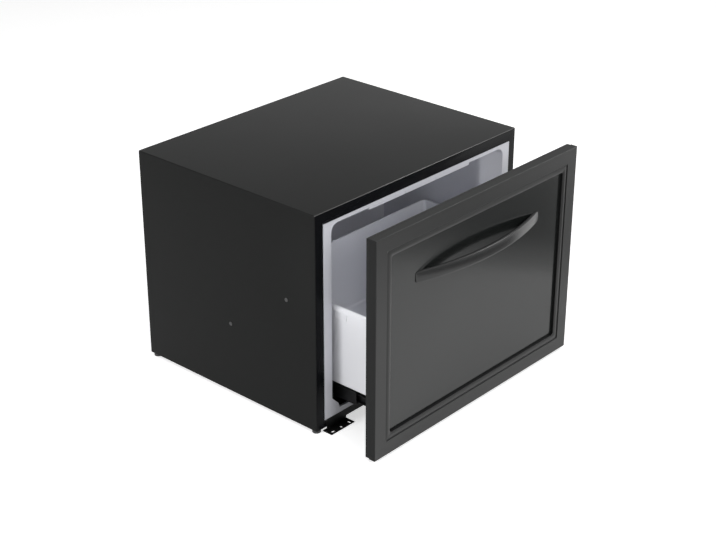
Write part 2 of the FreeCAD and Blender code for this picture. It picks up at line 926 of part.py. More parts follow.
def make_control_housing():
    """Light grey housing under the ceiling that holds the lamp, thermostat and door switch."""
    front = "HousingFront"
    lip = "OpeningHigh - HousingLip"
    wall = "HousingWall"
    shape = [
        (front, "OpeningHigh"),
        (front, lip),
        (f"{front} + HousingLipDepth", lip),
        (f"{front} + HousingLipDepth + HousingRamp", "HousingLow"),
        ("HousingBack", "HousingLow"),
        ("HousingBack", "OpeningHigh"),
    ]
    room = [
        (f"{front} + {wall}", "OpeningHigh + CutOverrun"),
        (f"{front} + {wall}", f"{lip} + {wall}"),
        (f"{front} + HousingLipDepth + {wall} / 2", f"{lip} + {wall}"),
        (f"{front} + HousingLipDepth + HousingRamp + {wall} / 2", "HousingFloor"),
        (f"HousingBack - {wall}", "HousingFloor"),
        (f"HousingBack - {wall}", "OpeningHigh + CutOverrun"),
    ]
    outer = outline("housing_outer", "YZ_Plane", shape, ("-HousingHalf", "HousingHalf"))
    inner = outline("housing_room", "YZ_Plane", room, (f"-(HousingHalf - {wall})", f"HousingHalf - {wall}"))
    shell = cut("housing_shell", outer, [inner])
    bosses = [
        rod(f"housing_boss_{index}", "z", "BossRadius", place, ("HousingLow", "OpeningHigh"))
        for index, place in enumerate(housing_screws())
    ]
    holes = [
        rod(
            f"housing_screw_{index}",
            "z",
            "ScrewShank + ScrewClear",
            place,
            ("HousingLow - CutOverrun", "OpeningHigh + CutOverrun"),
        )
        for index, place in enumerate(housing_screws())
    ]
    holes.append(
        block(
            "housing_window",
            ("-(LensHalf + PanelClear / 2)", "LensHalf + PanelClear / 2"),
            ("LensFront - PanelClear / 2", "LensBack - PanelClear / 2"),
            ("HousingLow - CutOverrun", "HousingFloor + ScrewClear"),
        )
    )
    holes.append(
        rod(
            "housing_spindle",
            "z",
            "SpindleRadius + SpindleEnd",
            ("DialAcross", "DialDepth"),
            ("HousingLow - CutOverrun", "HousingFloor + ScrewClear"),
        ),
    )
    settle(cut("housing", fuse("housing_bossed", [shell] + bosses), holes), "control_housing")


def make_light():
    """Frosted lens that drops into the housing's window, and the lamp board on its posts."""
    back = "LensBack - PanelClear"
    pane = block(
        "lens_pane",
        ("-LensHalf", "LensHalf"),
        ("LensFront", back),
        ("HousingLow", "HousingFloor"),
    )
    rim = block(
        "lens_rim",
        ("-(LensHalf + LensRim)", "LensHalf + LensRim"),
        ("LensFront - LensRim", f"{back} + LensRim / 2"),
        ("HousingFloor", "HousingFloor + LensSheet"),
    )
    post_top = "HousingFloor + LensSheet + LensPost"
    middle = f"(LensFront + {back}) / 2"
    posts = [
        rod(
            f"lens_post_{across}_{deep}",
            "z",
            "LensPost",
            (
                f"{across} * (LensHalf - LensPostIn)",
                f"{middle} + {deep} * (({back} - LensFront) / 2 - LensPostIn)",
            ),
            ("HousingFloor", post_top),
        )
        for across in (-1, 1)
        for deep in (-1, 1)
    ]
    settle(fuse("lens", [pane, rim] + posts), "light_lens")
    board = block(
        "board_sheet",
        ("-LensHalf", "LensHalf"),
        ("LensFront", back),
        (post_top, f"{post_top} + BoardSheet"),
    )
    lamps = [
        block(
            f"board_lamp_{index}",
            (f"{index} * LedPitch - LedSize / 2", f"{index} * LedPitch + LedSize / 2"),
            (f"{middle} - LedSize / 2", f"{middle} + LedSize / 2"),
            (f"{post_top} - LedThick", post_top),
        )
        for index in (-1, 0, 1)
    ]
    settle(group("board", [board] + lamps), "led_board")


def make_thermostat():
    """Thermostat body with its spindle, and the ridged dial that turns on it."""
    place = ("DialAcross", "DialDepth")
    top = "HousingLow - DialGap"
    case = block(
        "stat_case",
        ("DialAcross - StatHalf", "DialAcross + StatHalf"),
        ("DialDepth - StatHalf", "DialDepth + StatHalf"),
        ("HousingFloor", "HousingFloor + StatHeight"),
    )
    spindle = rod(
        "stat_spindle",
        "z",
        "SpindleRadius",
        place,
        (f"{top} - DialHeight + SpindleEnd + DialGap", "HousingFloor"),
    )
    settle(fuse("stat", [case, spindle]), "thermostat_body")
    disc = rod("dial_disc", "z", "DialRadius", place, (f"{top} - DialHeight", top))
    bore = rod(
        "dial_bore",
        "z",
        "SpindleRadius + SpindleClear",
        place,
        (f"{top} - DialHeight + SpindleEnd", f"{top} + CutOverrun"),
    )
    bar = block(
        "dial_bar",
        ("DialAcross - DialRidge", "DialAcross + DialRidge"),
        (f"DialDepth - DialRadius * {DIAL_BAR_SHARE}", f"DialDepth + DialRadius * {DIAL_BAR_SHARE}"),
        (f"{top} - DialHeight - DialRidge", f"{top} - DialHeight"),
    )
    settle(cut("dial", fuse("dial_knob", [disc, bar]), [bore]), "thermostat_dial")


DIAL_BAR_SHARE = 0.8


def make_door_switch():
    """Sealed magnetic switch on the floor of the housing's lip."""
    case = block(
        "reed_case",
        ("DialAcross - StatHalf - SwitchLength - HousingWall", "DialAcross - StatHalf - HousingWall"),
        (
            "HousingFront + HousingWall + ScrewClear",
            "HousingFront + HousingWall + ScrewClear + SwitchDepth",
        ),
        ("OpeningHigh - HousingLip + HousingWall", "OpeningHigh - HousingLip + HousingWall + SwitchHeight"),
    )
    settle(case, "reed_switch")


def pipe(label, radius, route, bend):
    """A bent metal tube along a route of points: straight runs joined by tangent arcs."""
    points = [Vector(*(value(text) for text in place)) for place in route]
    edges = []
    start = points[0]
    turn_radius = value(bend)
    for before, corner, after in zip(points, points[1:], points[2:]):
        came = (corner - before).normalize()
        goes = (after - corner).normalize()
        half_turn = came.getAngle(goes) / 2
        back = turn_radius * math.tan(half_turn)
        enter = corner - came * back
        leave = corner + goes * back
        inward = (goes - came).normalize()
        middle = corner + inward * (turn_radius / math.cos(half_turn) - turn_radius)
        edges.append(Part.LineSegment(start, enter).toShape())
        edges.append(Part.Arc(enter, middle, leave).toShape())
        start = leave
    edges.append(Part.LineSegment(start, points[-1]).toShape())
    path = Part.Wire(edges)
    first = (points[1] - points[0]).normalize()
    ring = Part.Wire([Part.Circle(points[0], first, value(radius)).toShape()])
    solid = path.makePipeShell([ring], True, False)
    piece = document.addObject("Part::Feature", label + "_pipe")
    piece.Shape = solid
    return piece


def make_evaporator():
    """Aluminium plate on the back wall with a cold tube looped over its back."""
    plate = block(
        "evap_plate",
        ("-PlateHalf", "PlateHalf"),
        ("PlateFront", "PlateBack"),
        ("PlateLow", "PlateHigh"),
    )
    posts = [
        rod(f"evap_post_{index}", "y", "StandoffRadius", place, ("PlateBack", "LinerDepth"))
        for index, place in enumerate(standoff_places())
    ]
    holes = [
        rod(
            f"evap_hole_{index}",
            "y",
            "ScrewShank + ScrewClear",
            place,
            ("PlateFront - CutOverrun", "LinerDepth + CutOverrun"),
        )
        for index, place in enumerate(standoff_places())
    ]
    settle(cut("evaporator", fuse("evap_posted", [plate] + posts), holes), "evaporator_plate")
    near = "-(PlateHalf - TubeBend)"
    far = "PlateHalf - 3 * TubeBend"
    route = [(near, "WallBack", evaporator_row(0))]
    for row in range(EVAP_ROWS):
        ends = (near, far) if row % 2 == 0 else (f"{near} + 2 * TubeBend", far)[::-1]
        route += [(x, "TubeLine", evaporator_row(row)) for x in ends]
    route = route[:-1]
    last = EVAP_ROWS - 1
    route += [(near, "TubeLine", evaporator_row(last)), (near, "WallBack", evaporator_row(last))]
    settle(pipe("evaporator_tube", "EvapTube", route, "EvapTube * 2"), "evaporator_tube")


def make_liner_screws():
    """Like screws in the liner: through the evaporator, the runners and the housing."""
    length = "LinerDepth - PlateFront + ScrewLength"
    screws = [
        screw(f"evap_screw_{index}", "y", place, "PlateFront", -1, length)
        for index, place in enumerate(standoff_places())
    ]
    foot = "OpeningLow + RunnerSheet"
    screws += [
        screw(f"foot_screw_{index}", "z", place, foot, 1, "ScrewLength + RunnerSheet")
        for index, place in enumerate(runner_foot_screws())
    ]
    screws += [
        screw(f"roof_screw_{index}", "z", place, "HousingLow", -1, "HousingDrop + ScrewLength")
        for index, place in enumerate(housing_screws())
    ]
    screws += [
        screw(
            f"rail_screw_{side}_{index}",
            "x",
            place,
            f"{turn} * RunnerFace",
            turn,
            "RunnerSheet + RailSheet",
        )
        for side, turn in SIDES.items()
        for index, place in enumerate(rail_screw_places())
    ]
    settle(group("liner_screw_group", screws), "liner_screws")


def make_drip_channel():
    """Shallow trough that catches the evaporator's meltwater, and the drain from it."""
    half = "PlateHalf + ChannelSheet"
    body = block(
        "channel_body",
        (f"-({half})", half),
        ("ChannelFront", "LinerDepth"),
        ("ChannelLow", "ChannelHigh"),
    )
    room = block(
        "channel_room",
        ("-PlateHalf", "PlateHalf"),
        ("ChannelFront + ChannelSheet", "LinerDepth - ChannelSheet"),
        ("ChannelLow + ChannelSheet", "ChannelHigh + CutOverrun"),
    )
    hole = rod(
        "channel_hole",
        "y",
        "DrainRadius",
        ("-PumpAcross", drain_line()),
        ("LinerDepth - CutOverrun", "LinerDepth + CutOverrun"),
    )
    settle(cut("channel", body, [room, hole]), "drip_channel")


def make_drain_tube():
    """Plastic drain from the channel's back wall down into the pan on the compressor."""
    across = "-PumpAcross"
    drop = "PumpDepth - TrayRadius + DrainIn"
    route = [
        (across, "LinerDepth - ChannelSheet", drain_line()),
        (across, drop, drain_line()),
        (across, drop, "PumpTop + TrayHeight / 2"),
    ]
    outer = pipe("drain_outer", "DrainRadius", route, "DrainRadius * 3")
    inner = pipe("drain_inner", "DrainRadius - DrainWall", route, "DrainRadius * 3")
    settle(cut("drain", outer, [inner]), "drain_tube")


def make_compressor():
    """Domed steel can, welded to a pressed foot plate on four rubber mounts."""
    centre = ("-PumpAcross", "PumpDepth")
    plate_low = "PumpLow - PumpFootSheet"
    can = rod("pump_can", "z", "PumpRadius", centre, ("PumpLow", "PumpTop"))

    def rims(bounds):
        return bounds.ZLength < TOUCH and bounds.ZMin > value("PumpTop") - TOUCH

    domed = rounded("pump_domed", can, "PumpDome", rims)
    plate = block(
        "pump_plate",
        ("-PumpAcross - PumpFootHalf", "-PumpAcross + PumpFootHalf"),
        ("PumpDepth - PumpFootDepth", "PumpDepth + PumpFootDepth"),
        (plate_low, "PumpLow"),
    )
    holes = [
        rod(
            f"pump_hole_{index}",
            "z",
            "GrommetNeck + ScrewClear",
            place,
            (f"{plate_low} - CutOverrun", "PumpLow + ScrewClear"),
        )
        for index, place in enumerate(grommet_places())
    ]
    settle(fuse("pump", [domed, cut("pump_feet", plate, holes)]), "compressor_shell")
    grommets = []
    bolts = []
    for index, place in enumerate(grommet_places()):
        foot = rod(f"grommet_foot_{index}", "z", "GrommetRadius", place, ("ShellSheet", plate_low))
        neck = rod(
            f"grommet_neck_{index}",
            "z",
            "GrommetNeck",
            place,
            ("ShellSheet", "PumpLow + GrommetNeck / 2"),
        )
        bore = rod(
            f"grommet_bore_{index}",
            "z",
            "BoltRadius + ScrewClear",
            place,
            ("0", "PumpLow + CutOverrun"),
        )
        grommets.append(cut(f"grommet_{index}", fuse(f"grommet_solid_{index}", [foot, neck]), [bore]))
        top = "PumpLow + GrommetNeck / 2"
        shank = rod(f"bolt_shank_{index}", "z", "BoltRadius", place, ("0 - BoltHeadThick / 2", top))
        cap = rod(f"bolt_cap_{index}", "z", "BoltHead", place, (top, f"{top} + BoltHeadThick"))
        under = rod(f"bolt_under_{index}", "z", "BoltHead", place, ("0 - BoltHeadThick / 2", "0"))
        bolts.append(fuse(f"bolt_{index}", [shank, cap, under]))
    settle(group("grommet_group", grommets), "compressor_grommets")
    settle(group("bolt_group", bolts), "compressor_bolts")


def make_relay_cover():
    """Plastic cover over the starting relay on the side of the can."""
    side = "-PumpAcross + PumpRadius"
    low = "PumpLow + RelayRise"
    outer = block(
        "relay_outer",
        (f"{side} - RelayWidth / 2", f"{side} + RelayWidth"),
        ("PumpDepth - RelayHalf", "PumpDepth + RelayHalf"),
        (low, f"{low} + RelayHeight"),
    )
    inner = block(
        "relay_inner",
        (f"{side} - RelayWidth", f"{side} + RelayWidth - RelayWall"),
        ("PumpDepth - RelayHalf + RelayWall", "PumpDepth + RelayHalf - RelayWall"),
        (f"{low} + RelayWall", f"{low} + RelayHeight - RelayWall"),
    )
    can = rod(
        "relay_can",
        "z",
        "PumpRadius + PanelClear / 2",
        ("-PumpAcross", "PumpDepth"),
        (f"{low} - CutOverrun", f"{low} + RelayHeight + CutOverrun"),
    )
    settle(cut("relay", outer, [inner, can]), "relay_cover")


def make_condensate_tray():
    """Shallow pan that sits on the warm can and dries the meltwater."""
    centre = ("-PumpAcross", "PumpDepth")
    outer = rod("pan_outer", "z", "TrayRadius", centre, ("PumpTop", "PumpTop + TrayHeight"))
    inner = rod(
        "pan_inner",
        "z",
        "TrayRadius - TrayWall",
        centre,
        ("PumpTop + TrayWall", "PumpTop + TrayHeight + CutOverrun"),
    )
    settle(cut("pan", outer, [inner]), "condensate_tray")


CONDENSER_BEND_SHARE = 0.45


def condenser_row(row):
    """Height of one run of the condenser."""
    return f"CondLow + {row} * CondPitch"


def make_condenser():
    """Steel tube looped across the back, with wires welded to it and two clip strips."""
    rows = int(value("CondRows"))
    route = [("CondLeft - CondPitch", "CondDepth", condenser_row(0))]
    for row in range(rows):
        ends = ("CondLeft", "CondRight") if row % 2 == 0 else ("CondRight", "CondLeft")
        route += [(x, "CondDepth", condenser_row(row)) for x in ends]
    route = [route[0]] + route[2:]
    settle(
        pipe("condenser_tube", "CondTube", route, f"CondPitch * {CONDENSER_BEND_SHARE}"),
        "condenser_tube",
    )
    wires = []
    count = int(value("WireCount"))
    for index in range(count):
        step = "(CondRight - CondLeft - 2 * CondPitch) / (WireCount - 1)"
        across = f"CondLeft + CondPitch + {index} * {step}"
        deep = "CondDepth - CondTube - WireRadius"
        span = ("CondLow - CondPitch / 2", "CondHigh + CondPitch / 2")
        wires.append(rod(f"wire_{index}", "z", "WireRadius", (across, deep), span))
    settle(group("wire_group", wires), "condenser_wires")
    clips = []
    for end in (0, 1):
        across = f"CondLeft + CondPitch * 2 + {end} * (CondRight - CondLeft - 4 * CondPitch)"
        shift = f"({across}) + CondPitch / 4"
        level = condenser_row(rows - 1) if end else condenser_row(0)
        clips.append(
            block(
                f"clip_{end}",
                (f"{shift} - ClipWidth / 2", f"{shift} + ClipWidth / 2"),
                ("CondDepth + CondTube", "RoomBack"),
                (f"{level} - ClipWidth / 2", f"{level} + ClipWidth / 2"),
            )
        )
    settle(group("clip_group", clips), "condenser_clips")


def make_filter_drier():
    """Copper drier between the condenser and the capillary, drawn down at both ends."""
    centre = ("DrierAcross", "WallBack + DrierRadius + ScrewClear")
    high = "DrierLow + DrierLength"
    body = rod("drier_body", "z", "DrierRadius", centre, ("DrierLow", high))
    low_end = cone(
        "drier_low",
        "z",
        "PipeRadius",
        "DrierRadius",
        centre,
        ("DrierLow - DrierCone", "DrierLow"),
    )
    high_end = cone("drier_high", "z", "DrierRadius", "PipeRadius", centre, (high, f"{high} + DrierCone"))
    settle(fuse("drier", [body, low_end, high_end]), "filter_drier")


def make_pipes():
    """Copper pipes that join the compressor, condenser, drier and evaporator."""
    drier_line = "WallBack + DrierRadius + ScrewClear"
    ends = tube_ends()
    side = "-PumpAcross - PumpRadius"
    suction = [
        (ends[1][0], "WallBack", ends[1][1]),
        (ends[1][0], "WallBack + PipeBend * 2", ends[1][1]),
        (f"{side} - PipeBend", "WallBack + PipeBend * 2", ends[1][1]),
        (f"{side} - PipeBend", "WallBack + PipeBend * 2", "PumpLow + PumpHeight / 2"),
        (f"{side} - PipeBend", "PumpDepth", "PumpLow + PumpHeight / 2"),
        (side, "PumpDepth", "PumpLow + PumpHeight / 2"),
    ]
    settle(pipe("suction_pipe", "PipeRadius", suction, "PipeBend / 2"), "suction_pipe")
    port = "-PumpAcross + PumpRadius"
    discharge = [
        (port, "PumpDepth", "PumpLow + RelayRise / 2"),
        ("CondLeft - CondPitch - PipeBend * 2", "PumpDepth", "PumpLow + RelayRise / 2"),
        ("CondLeft - CondPitch - PipeBend * 2", "CondDepth", "PumpLow + RelayRise / 2"),
        ("CondLeft - CondPitch - PipeBend * 2", "CondDepth", condenser_row(0)),
        ("CondLeft - CondPitch", "CondDepth", condenser_row(0)),
    ]
    settle(pipe("discharge_pipe", "PipeRadius", discharge, "PipeBend / 2"), "discharge_pipe")
    capillary = [
        ("DrierAcross", drier_line, "DrierLow + DrierLength + DrierCone"),
        ("DrierAcross", drier_line, f"{ends[0][1]} - PipeBend * 2"),
        (ends[0][0], drier_line, f"{ends[0][1]} - PipeBend * 2"),
        (ends[0][0], drier_line, ends[0][1]),
        (ends[0][0], "WallBack", ends[0][1]),
    ]
    settle(pipe("capillary_tube", "CapillaryRadius", capillary, "PipeBend / 2"), "capillary_tube")


def inlet_screw_places():
    """The two screws beside the power inlet."""
    middle = "InletLow + InletHeight / 2"
    return [(f"InletAcross + {turn} * (InletHalf + InletFlange / 2)", middle) for turn in (-1, 1)]


def back_screw_places():
    """Screws round the edge of the back panel."""
    half = "HalfWidth - BackLap / 2 - ShellSheet"
    return [
        (f"{turn} * ({half})", f"BodyHeight * {share}")
        for turn in (-1, 1)
        for share in BACK_SCREW_SHARES
    ]


BACK_SCREW_SHARES = (0.06, 0.5, 0.94)


def make_power_inlet():
    """Three-pin mains inlet in the back panel; its lead is not part of the object."""
    x = ("InletAcross - InletHalf", "InletAcross + InletHalf")
    z = ("InletLow", "InletLow + InletHeight")
    case = block("inlet_case", x, ("BodyDepth - InletDepth", "BodyDepth"), z)
    flange = block(
        "inlet_flange",
        (f"{x[0]} - InletFlange", f"{x[1]} + InletFlange"),
        ("BodyDepth", "BodyDepth + InletFlangeSheet"),
        (f"{z[0]} - InletFlange / 2", f"{z[1]} + InletFlange / 2"),
    )
    room = block(
        "inlet_room",
        (f"{x[0]} + InletWall", f"{x[1]} - InletWall"),
        ("BodyDepth - InletDepth + InletWall", "BodyDepth + CutOverrun"),
        (f"{z[0]} + InletWall", f"{z[1]} - InletWall"),
    )
    holes = [
        rod(
            f"inlet_hole_{index}",
            "y",
            "ScrewShank + ScrewClear",
            place,
            ("BodyDepth - CutOverrun / 2", "BodyDepth + CutOverrun"),
        )
        for index, place in enumerate(inlet_screw_places())
    ]
    shell = cut("inlet_shell", fuse("inlet_body", [case, flange]), [room] + holes)
    floor = "BodyDepth - InletDepth + InletWall"
    pins = [
        block(
            f"inlet_pin_{index}",
            (
                f"InletAcross + {index} * PinPitch - PinSize / 2",
                f"InletAcross + {index} * PinPitch + PinSize / 2",
            ),
            (f"{floor} - InletWall / 2", f"{floor} + PinLength"),
            ("InletLow + InletHeight / 2 - PinSize", "InletLow + InletHeight / 2 + PinSize"),
        )
        for index in (-1, 0, 1)
    ]
    settle(fuse("inlet", [shell] + pins), "power_inlet")


def make_back_panel():
    """Painted steel back with rows of louvre slots over the machine compartment."""
    panel = block(
        "back_sheet",
        ("-InsideHalf", "InsideHalf"),
        ("RoomBack", "BodyDepth"),
        ("ShellSheet", "BodyHeight - ShellSheet"),
    )
    slots = []
    count = int(value("LouvreCount"))
    rows = [row for row in range(count) if row != count // 2]
    for row in rows:
        low = f"LouvreLow + {row} * LouvrePitch"
        for turn in (-1, 1):
            slots.append(
                block(
                    f"louvre_{len(slots)}",
                    mirrored(turn, "BackLap", "LouvreHalf"),
                    ("RoomBack - CutOverrun", "BodyDepth + CutOverrun"),
                    (low, f"{low} + LouvreHeight"),
                )
            )
    window = block(
        "back_window",
        ("InletAcross - InletHalf - ScrewClear", "InletAcross + InletHalf + ScrewClear"),
        ("RoomBack - CutOverrun", "BodyDepth + CutOverrun"),
        ("InletLow - ScrewClear", "InletLow + InletHeight + ScrewClear"),
    )
    holes = [
        rod(
            f"back_hole_{index}",
            "y",
            "ScrewShank + ScrewClear",
            place,
            ("RoomBack - CutOverrun", "BodyDepth + CutOverrun"),
        )
        for index, place in enumerate(inlet_screw_places() + back_screw_places())
    ]
    settle(cut("back", panel, slots + [window] + holes), "back_panel")
    screws = [
        screw(f"inlet_screw_{index}", "y", place, "BodyDepth + InletFlangeSheet", 1)
        for index, place in enumerate(inlet_screw_places())
    ]
    screws += [
        screw(f"back_screw_{index}", "y", place, "BodyDepth", 1)
        for index, place in enumerate(back_screw_places())
    ]
    settle(group("rear_screw_group", screws), "rear_screws")


def across_rail(turn, inward):
    """A place across a slide, measured inwards from its outboard face."""
    return f"{turn} * (RailFace - ({inward}))"


def rail_section(name, turn, web, reach, half, wall, span):
    """A folded channel: its web runs between two depths and its flanges reach a third."""
    outside, inside = web
    shape = [
        (outside, f"-({half})"),
        (reach, f"-({half})"),
        (reach, f"-({half} - {wall})"),
        (inside, f"-({half} - {wall})"),
        (inside, f"{half} - {wall}"),
        (reach, f"{half} - {wall}"),
        (reach, half),
        (outside, half),
    ]
    points = [(across_rail(turn, x), f"RailCentre + {z}") for x, z in shape]
    return outline(name, "XZ_Plane", points, span)


MIDDLE_TRAVEL_SHARE = 0.5
OUTER_CAGE_TRAVEL_SHARE = 0.25
INNER_CAGE_TRAVEL_SHARE = 0.75
RAIL_SPAN = ("RailFront", "RailFront + RailLength")
CAGE_FRONT = "RailFront + (RailLength - CageLength) / 2"


def rail_screw_places():
    """Two screws along each slide, as a depth and a height."""
    return [
        ("RailFront + RunnerScrewIn / 2", "RailCentre"),
        ("RailFront + RailLength - RunnerScrewIn / 2", "RailCentre"),
    ]


def rail_holes(name, turn, span):
    """Screw holes through a slide member and what carries it."""
    return [
        rod(f"{name}_{index}", "x", "ScrewShank + ScrewClear", place, mirrored(turn, *span))
        for index, place in enumerate(rail_screw_places())
    ]


def make_runner_brackets():
    """Folded steel angles on the liner's floor that carry the slides."""
    for side, turn in SIDES.items():
        name = f"runner_{side}"
        high = "RailCentre + RailHalf"
        web = block(
            name + "_web",
            mirrored(turn, "RailFace", "RunnerFace"),
            RAIL_SPAN,
            ("OpeningLow", high),
        )
        foot = block(
            name + "_foot",
            mirrored(turn, "RunnerFace - RunnerFoot", "RunnerFace"),
            ("RunnerFootFront", "RailFront + RailLength"),
            ("OpeningLow", "OpeningLow + RunnerSheet"),
        )
        holes = rail_holes(name + "_hole", turn, ("RailFace - CutOverrun", "RunnerFace + CutOverrun"))
        holes += [
            rod(
                f"{name}_floor_{index}",
                "z",
                "ScrewShank + ScrewClear",
                (x, y),
                ("OpeningLow - CutOverrun", "OpeningLow + CutOverrun"),
            )
            for index, (x, y) in enumerate(runner_foot_screws())
            if (value(x) > 0) == (turn > 0)
        ]
        settle(cut(name, fuse(name + "_angle", [web, foot]), holes), f"runner_bracket_{side}")


def make_rails():
    """Outer, middle and inner members of the two slides."""
    for side, turn in SIDES.items():
        outer = rail_section(
            f"outer_{side}_channel",
            turn,
            ("0", "RailSheet"),
            "OuterFlange",
            "RailHalf",
            "RailSheet",
            RAIL_SPAN,
        )
        holes = rail_holes(
            f"outer_{side}_hole",
            turn,
            ("RailFace - RailSheet * 2", "RunnerFace + CutOverrun"),
        )
        settle(cut(f"outer_{side}", outer, holes), f"outer_rail_{side}")
        middle = rail_section(
            f"middle_{side}",
            turn,
            ("MiddleWeb", "MiddleWeb + RailSheet"),
            "MiddleFlange",
            "MiddleHalf",
            "RailSheet",
            RAIL_SPAN,
        )
        settle(middle, f"middle_rail_{side}", MIDDLE_TRAVEL_SHARE)
        inner = rail_section(
            f"inner_{side}_channel",
            turn,
            ("RailWidth", "RailWidth - RailSheet"),
            "InnerFlange",
            "InnerHalf",
            "RailSheet",
            RAIL_SPAN,
        )
        holes = rail_holes(
            f"inner_{side}_hole",
            turn,
            ("RailInside - CutOverrun", "RailInside + RailSheet * 2"),
        )
        settle(cut(f"inner_{side}", inner, holes), f"inner_rail_{side}", 1)


def make_ball_cages():
    """Pressed cages that space the balls, one in each gap between the slide members."""
    outer_line = "(RailHalf - RailSheet + MiddleHalf) / 2"
    inner_line = "(MiddleHalf - RailSheet + InnerHalf) / 2"
    kinds = {
        "outer": (OUTER_CAGE_TRAVEL_SHARE, "OuterCageWeb", outer_line, "OuterBallDepth"),
        "inner": (INNER_CAGE_TRAVEL_SHARE, "InnerCageWeb", inner_line, "InnerBallDepth"),
    }
    count = int(value("BallCount"))
    for side, turn in SIDES.items():
        for kind, (travel, web, line, ball_depth) in kinds.items():
            name = f"cage_{kind}_{side}"
            half = f"{line} + CageSheet / 2"
            reach = "OuterFlange - CageLip"
            span = (CAGE_FRONT, f"{CAGE_FRONT} + CageLength")
            strip = rail_section(
                name + "_strip",
                turn,
                (web, f"{web} + CageSheet"),
                reach,
                half,
                "CageSheet",
                span,
            )
            holes = []
            balls = []
            across = across_rail(turn, ball_depth)
            for step in range(count):
                deep = f"{CAGE_FRONT} + ({step} + {HALF_STEP}) * CageLength / BallCount"
                holes.append(
                    rod(
                        f"{name}_hole_{step}",
                        "z",
                        "BallRadius + BallRoom",
                        (across, deep),
                        (f"RailCentre - ({half}) - BallRoom", f"RailCentre + {half} + BallRoom"),
                    )
                )
                for end in (-1, 1):
                    ball = document.addObject("Part::Sphere", f"{name}_ball_{step}_{end}")
                    bind(ball, Radius="BallRadius")
                    seat(ball, (across, deep, f"RailCentre + {end} * ({line})"))
                    balls.append(ball)
            cage = cut(name, strip, holes)
            settle(group(name + "_balls", [cage] + balls), f"ball_cage_{kind}_{side}", travel)


HALF_STEP = 0.5


def door_block(name, inset, y):
    """A box the size of the door, set in from all four of its edges by one formula."""
    half = f"DoorHalf - ({inset})"
    return block(name, (f"-({half})", half), y, (f"DoorLow + {inset}", f"DoorHigh - ({inset})"))


def make_door_frame():
    """Moulded black frame: a broad flat band, a fine groove, a narrow band and a deep recess."""
    solid = door_block("frame_solid", "0", ("DoorFront", "FrameBack"))

    def front_edges(bounds):
        return bounds.YMax < value("DoorFront") + TOUCH

    eased = rounded("frame_eased", solid, "FrameRound", front_edges)
    past = "DoorFront - CutOverrun"
    groove = cut(
        "frame_groove",
        door_block("frame_groove_out", "FrameBand", (past, "DoorFront + GrooveDepth")),
        [door_block("frame_groove_in", "FrameBand + GrooveWidth", (past, "DoorFront + CutOverrun"))],
    )
    drop = door_block("frame_drop", "FrameBand + GrooveWidth", (past, "DoorFront + InnerBandDrop"))
    mouth = door_block("frame_mouth", "RecessInset", (past, "FrameBack + CutOverrun"))
    recess = rounded("frame_recess", mouth, "RecessRadius", runs_along("Y"))
    rebate = door_block(
        "frame_rebate",
        "RecessInset - PanelLap - PanelClear",
        ("PanelFace", "FrameBack + CutOverrun"),
    )
    settle(cut("frame", eased, [groove, drop, recess, rebate]), "door_frame", 1)


HANDLE_SCREW_SHARE = 0.7


def handle_screw_places():
    """The two screws under the handle's feet."""
    across = f"HandleLength / 2 - HandleFoot * {HANDLE_SCREW_SHARE}"
    return [(f"{turn} * ({across})", "HandleRise") for turn in (-1, 1)]


def make_door_panel():
    """Flat semi-gloss panel that lies behind the frame's recess."""
    panel = door_block("panel_sheet", "RecessInset - PanelLap", ("PanelFace", "PanelBack"))
    holes = [
        rod(
            f"panel_hole_{index}",
            "y",
            "HandleScrewShank + ScrewClear",
            place,
            ("PanelFace - CutOverrun", "PanelBack + CutOverrun"),
        )
        for index, place in enumerate(handle_screw_places())
    ]
    settle(cut("panel", panel, holes), "door_panel", 1)


def make_door_tray():
    """Folded steel tray behind the frame that closes the door's edges."""
    solid = door_block("tray_solid", "TrayInset", ("FrameBack", "DoorBack"))
    room = door_block(
        "tray_room",
        "TrayInset + TraySheet",
        ("FrameBack - CutOverrun", "DoorBack - TraySheet"),
    )
    window = door_block("tray_window", "TrayFlange", ("FrameBack - CutOverrun", "DoorBack + CutOverrun"))
    settle(cut("tray", solid, [room, window]), "door_tray", 1)


def plug_block(name, grow, y, radius):
    """The raised part of the inner door as a rounded box, grown by one formula."""
    half = f"PlugHalf + {grow}"
    box = block(name + "_box", (f"-({half})", half), y, (f"PlugLow - ({grow})", f"PlugHigh + {grow}"))
    end = value(y[1]) - TOUCH

    def free_edges(bounds):
        return runs_along("Y")(bounds) or bounds.YMin > end

    return rounded(name, box, radius, free_edges)


def carriage_screw_places():
    """Four screws through the carriage's front plate into the inner door."""
    level = "(CarriageFrontLow + DeckTop) / 2"
    return [(f"CarriageHalf * {share}", level) for share in CARRIAGE_SCREW_SHARES]


CARRIAGE_SCREW_SHARES = (-0.85, -0.3, 0.3, 0.85)


def make_door_back():
    """White vacuum-formed inner door: a flat flange with one deep raised panel."""
    plate = door_block("back_plate", "BackInset", ("DoorBack", "BackFace"))
    plug = plug_block("back_plug", "0", ("DoorBack", "PlugEnd"), "PlugCorner")
    room = plug_block(
        "back_room",
        "0 - BackSheet",
        ("DoorBack - CutOverrun", "PlugEnd - BackSheet"),
        "PlugCorner - BackSheet",
    )
    holes = [
        rod(
            f"back_fixing_{index}",
            "y",
            "ScrewShank + ScrewClear",
            place,
            ("DoorBack - CutOverrun", "BackFace + CutOverrun"),
        )
        for index, place in enumerate(carriage_screw_places())
    ]
    settle(cut("door_inner", fuse("door_inner_solid", [plate, plug]), [room] + holes), "door_back", 1)


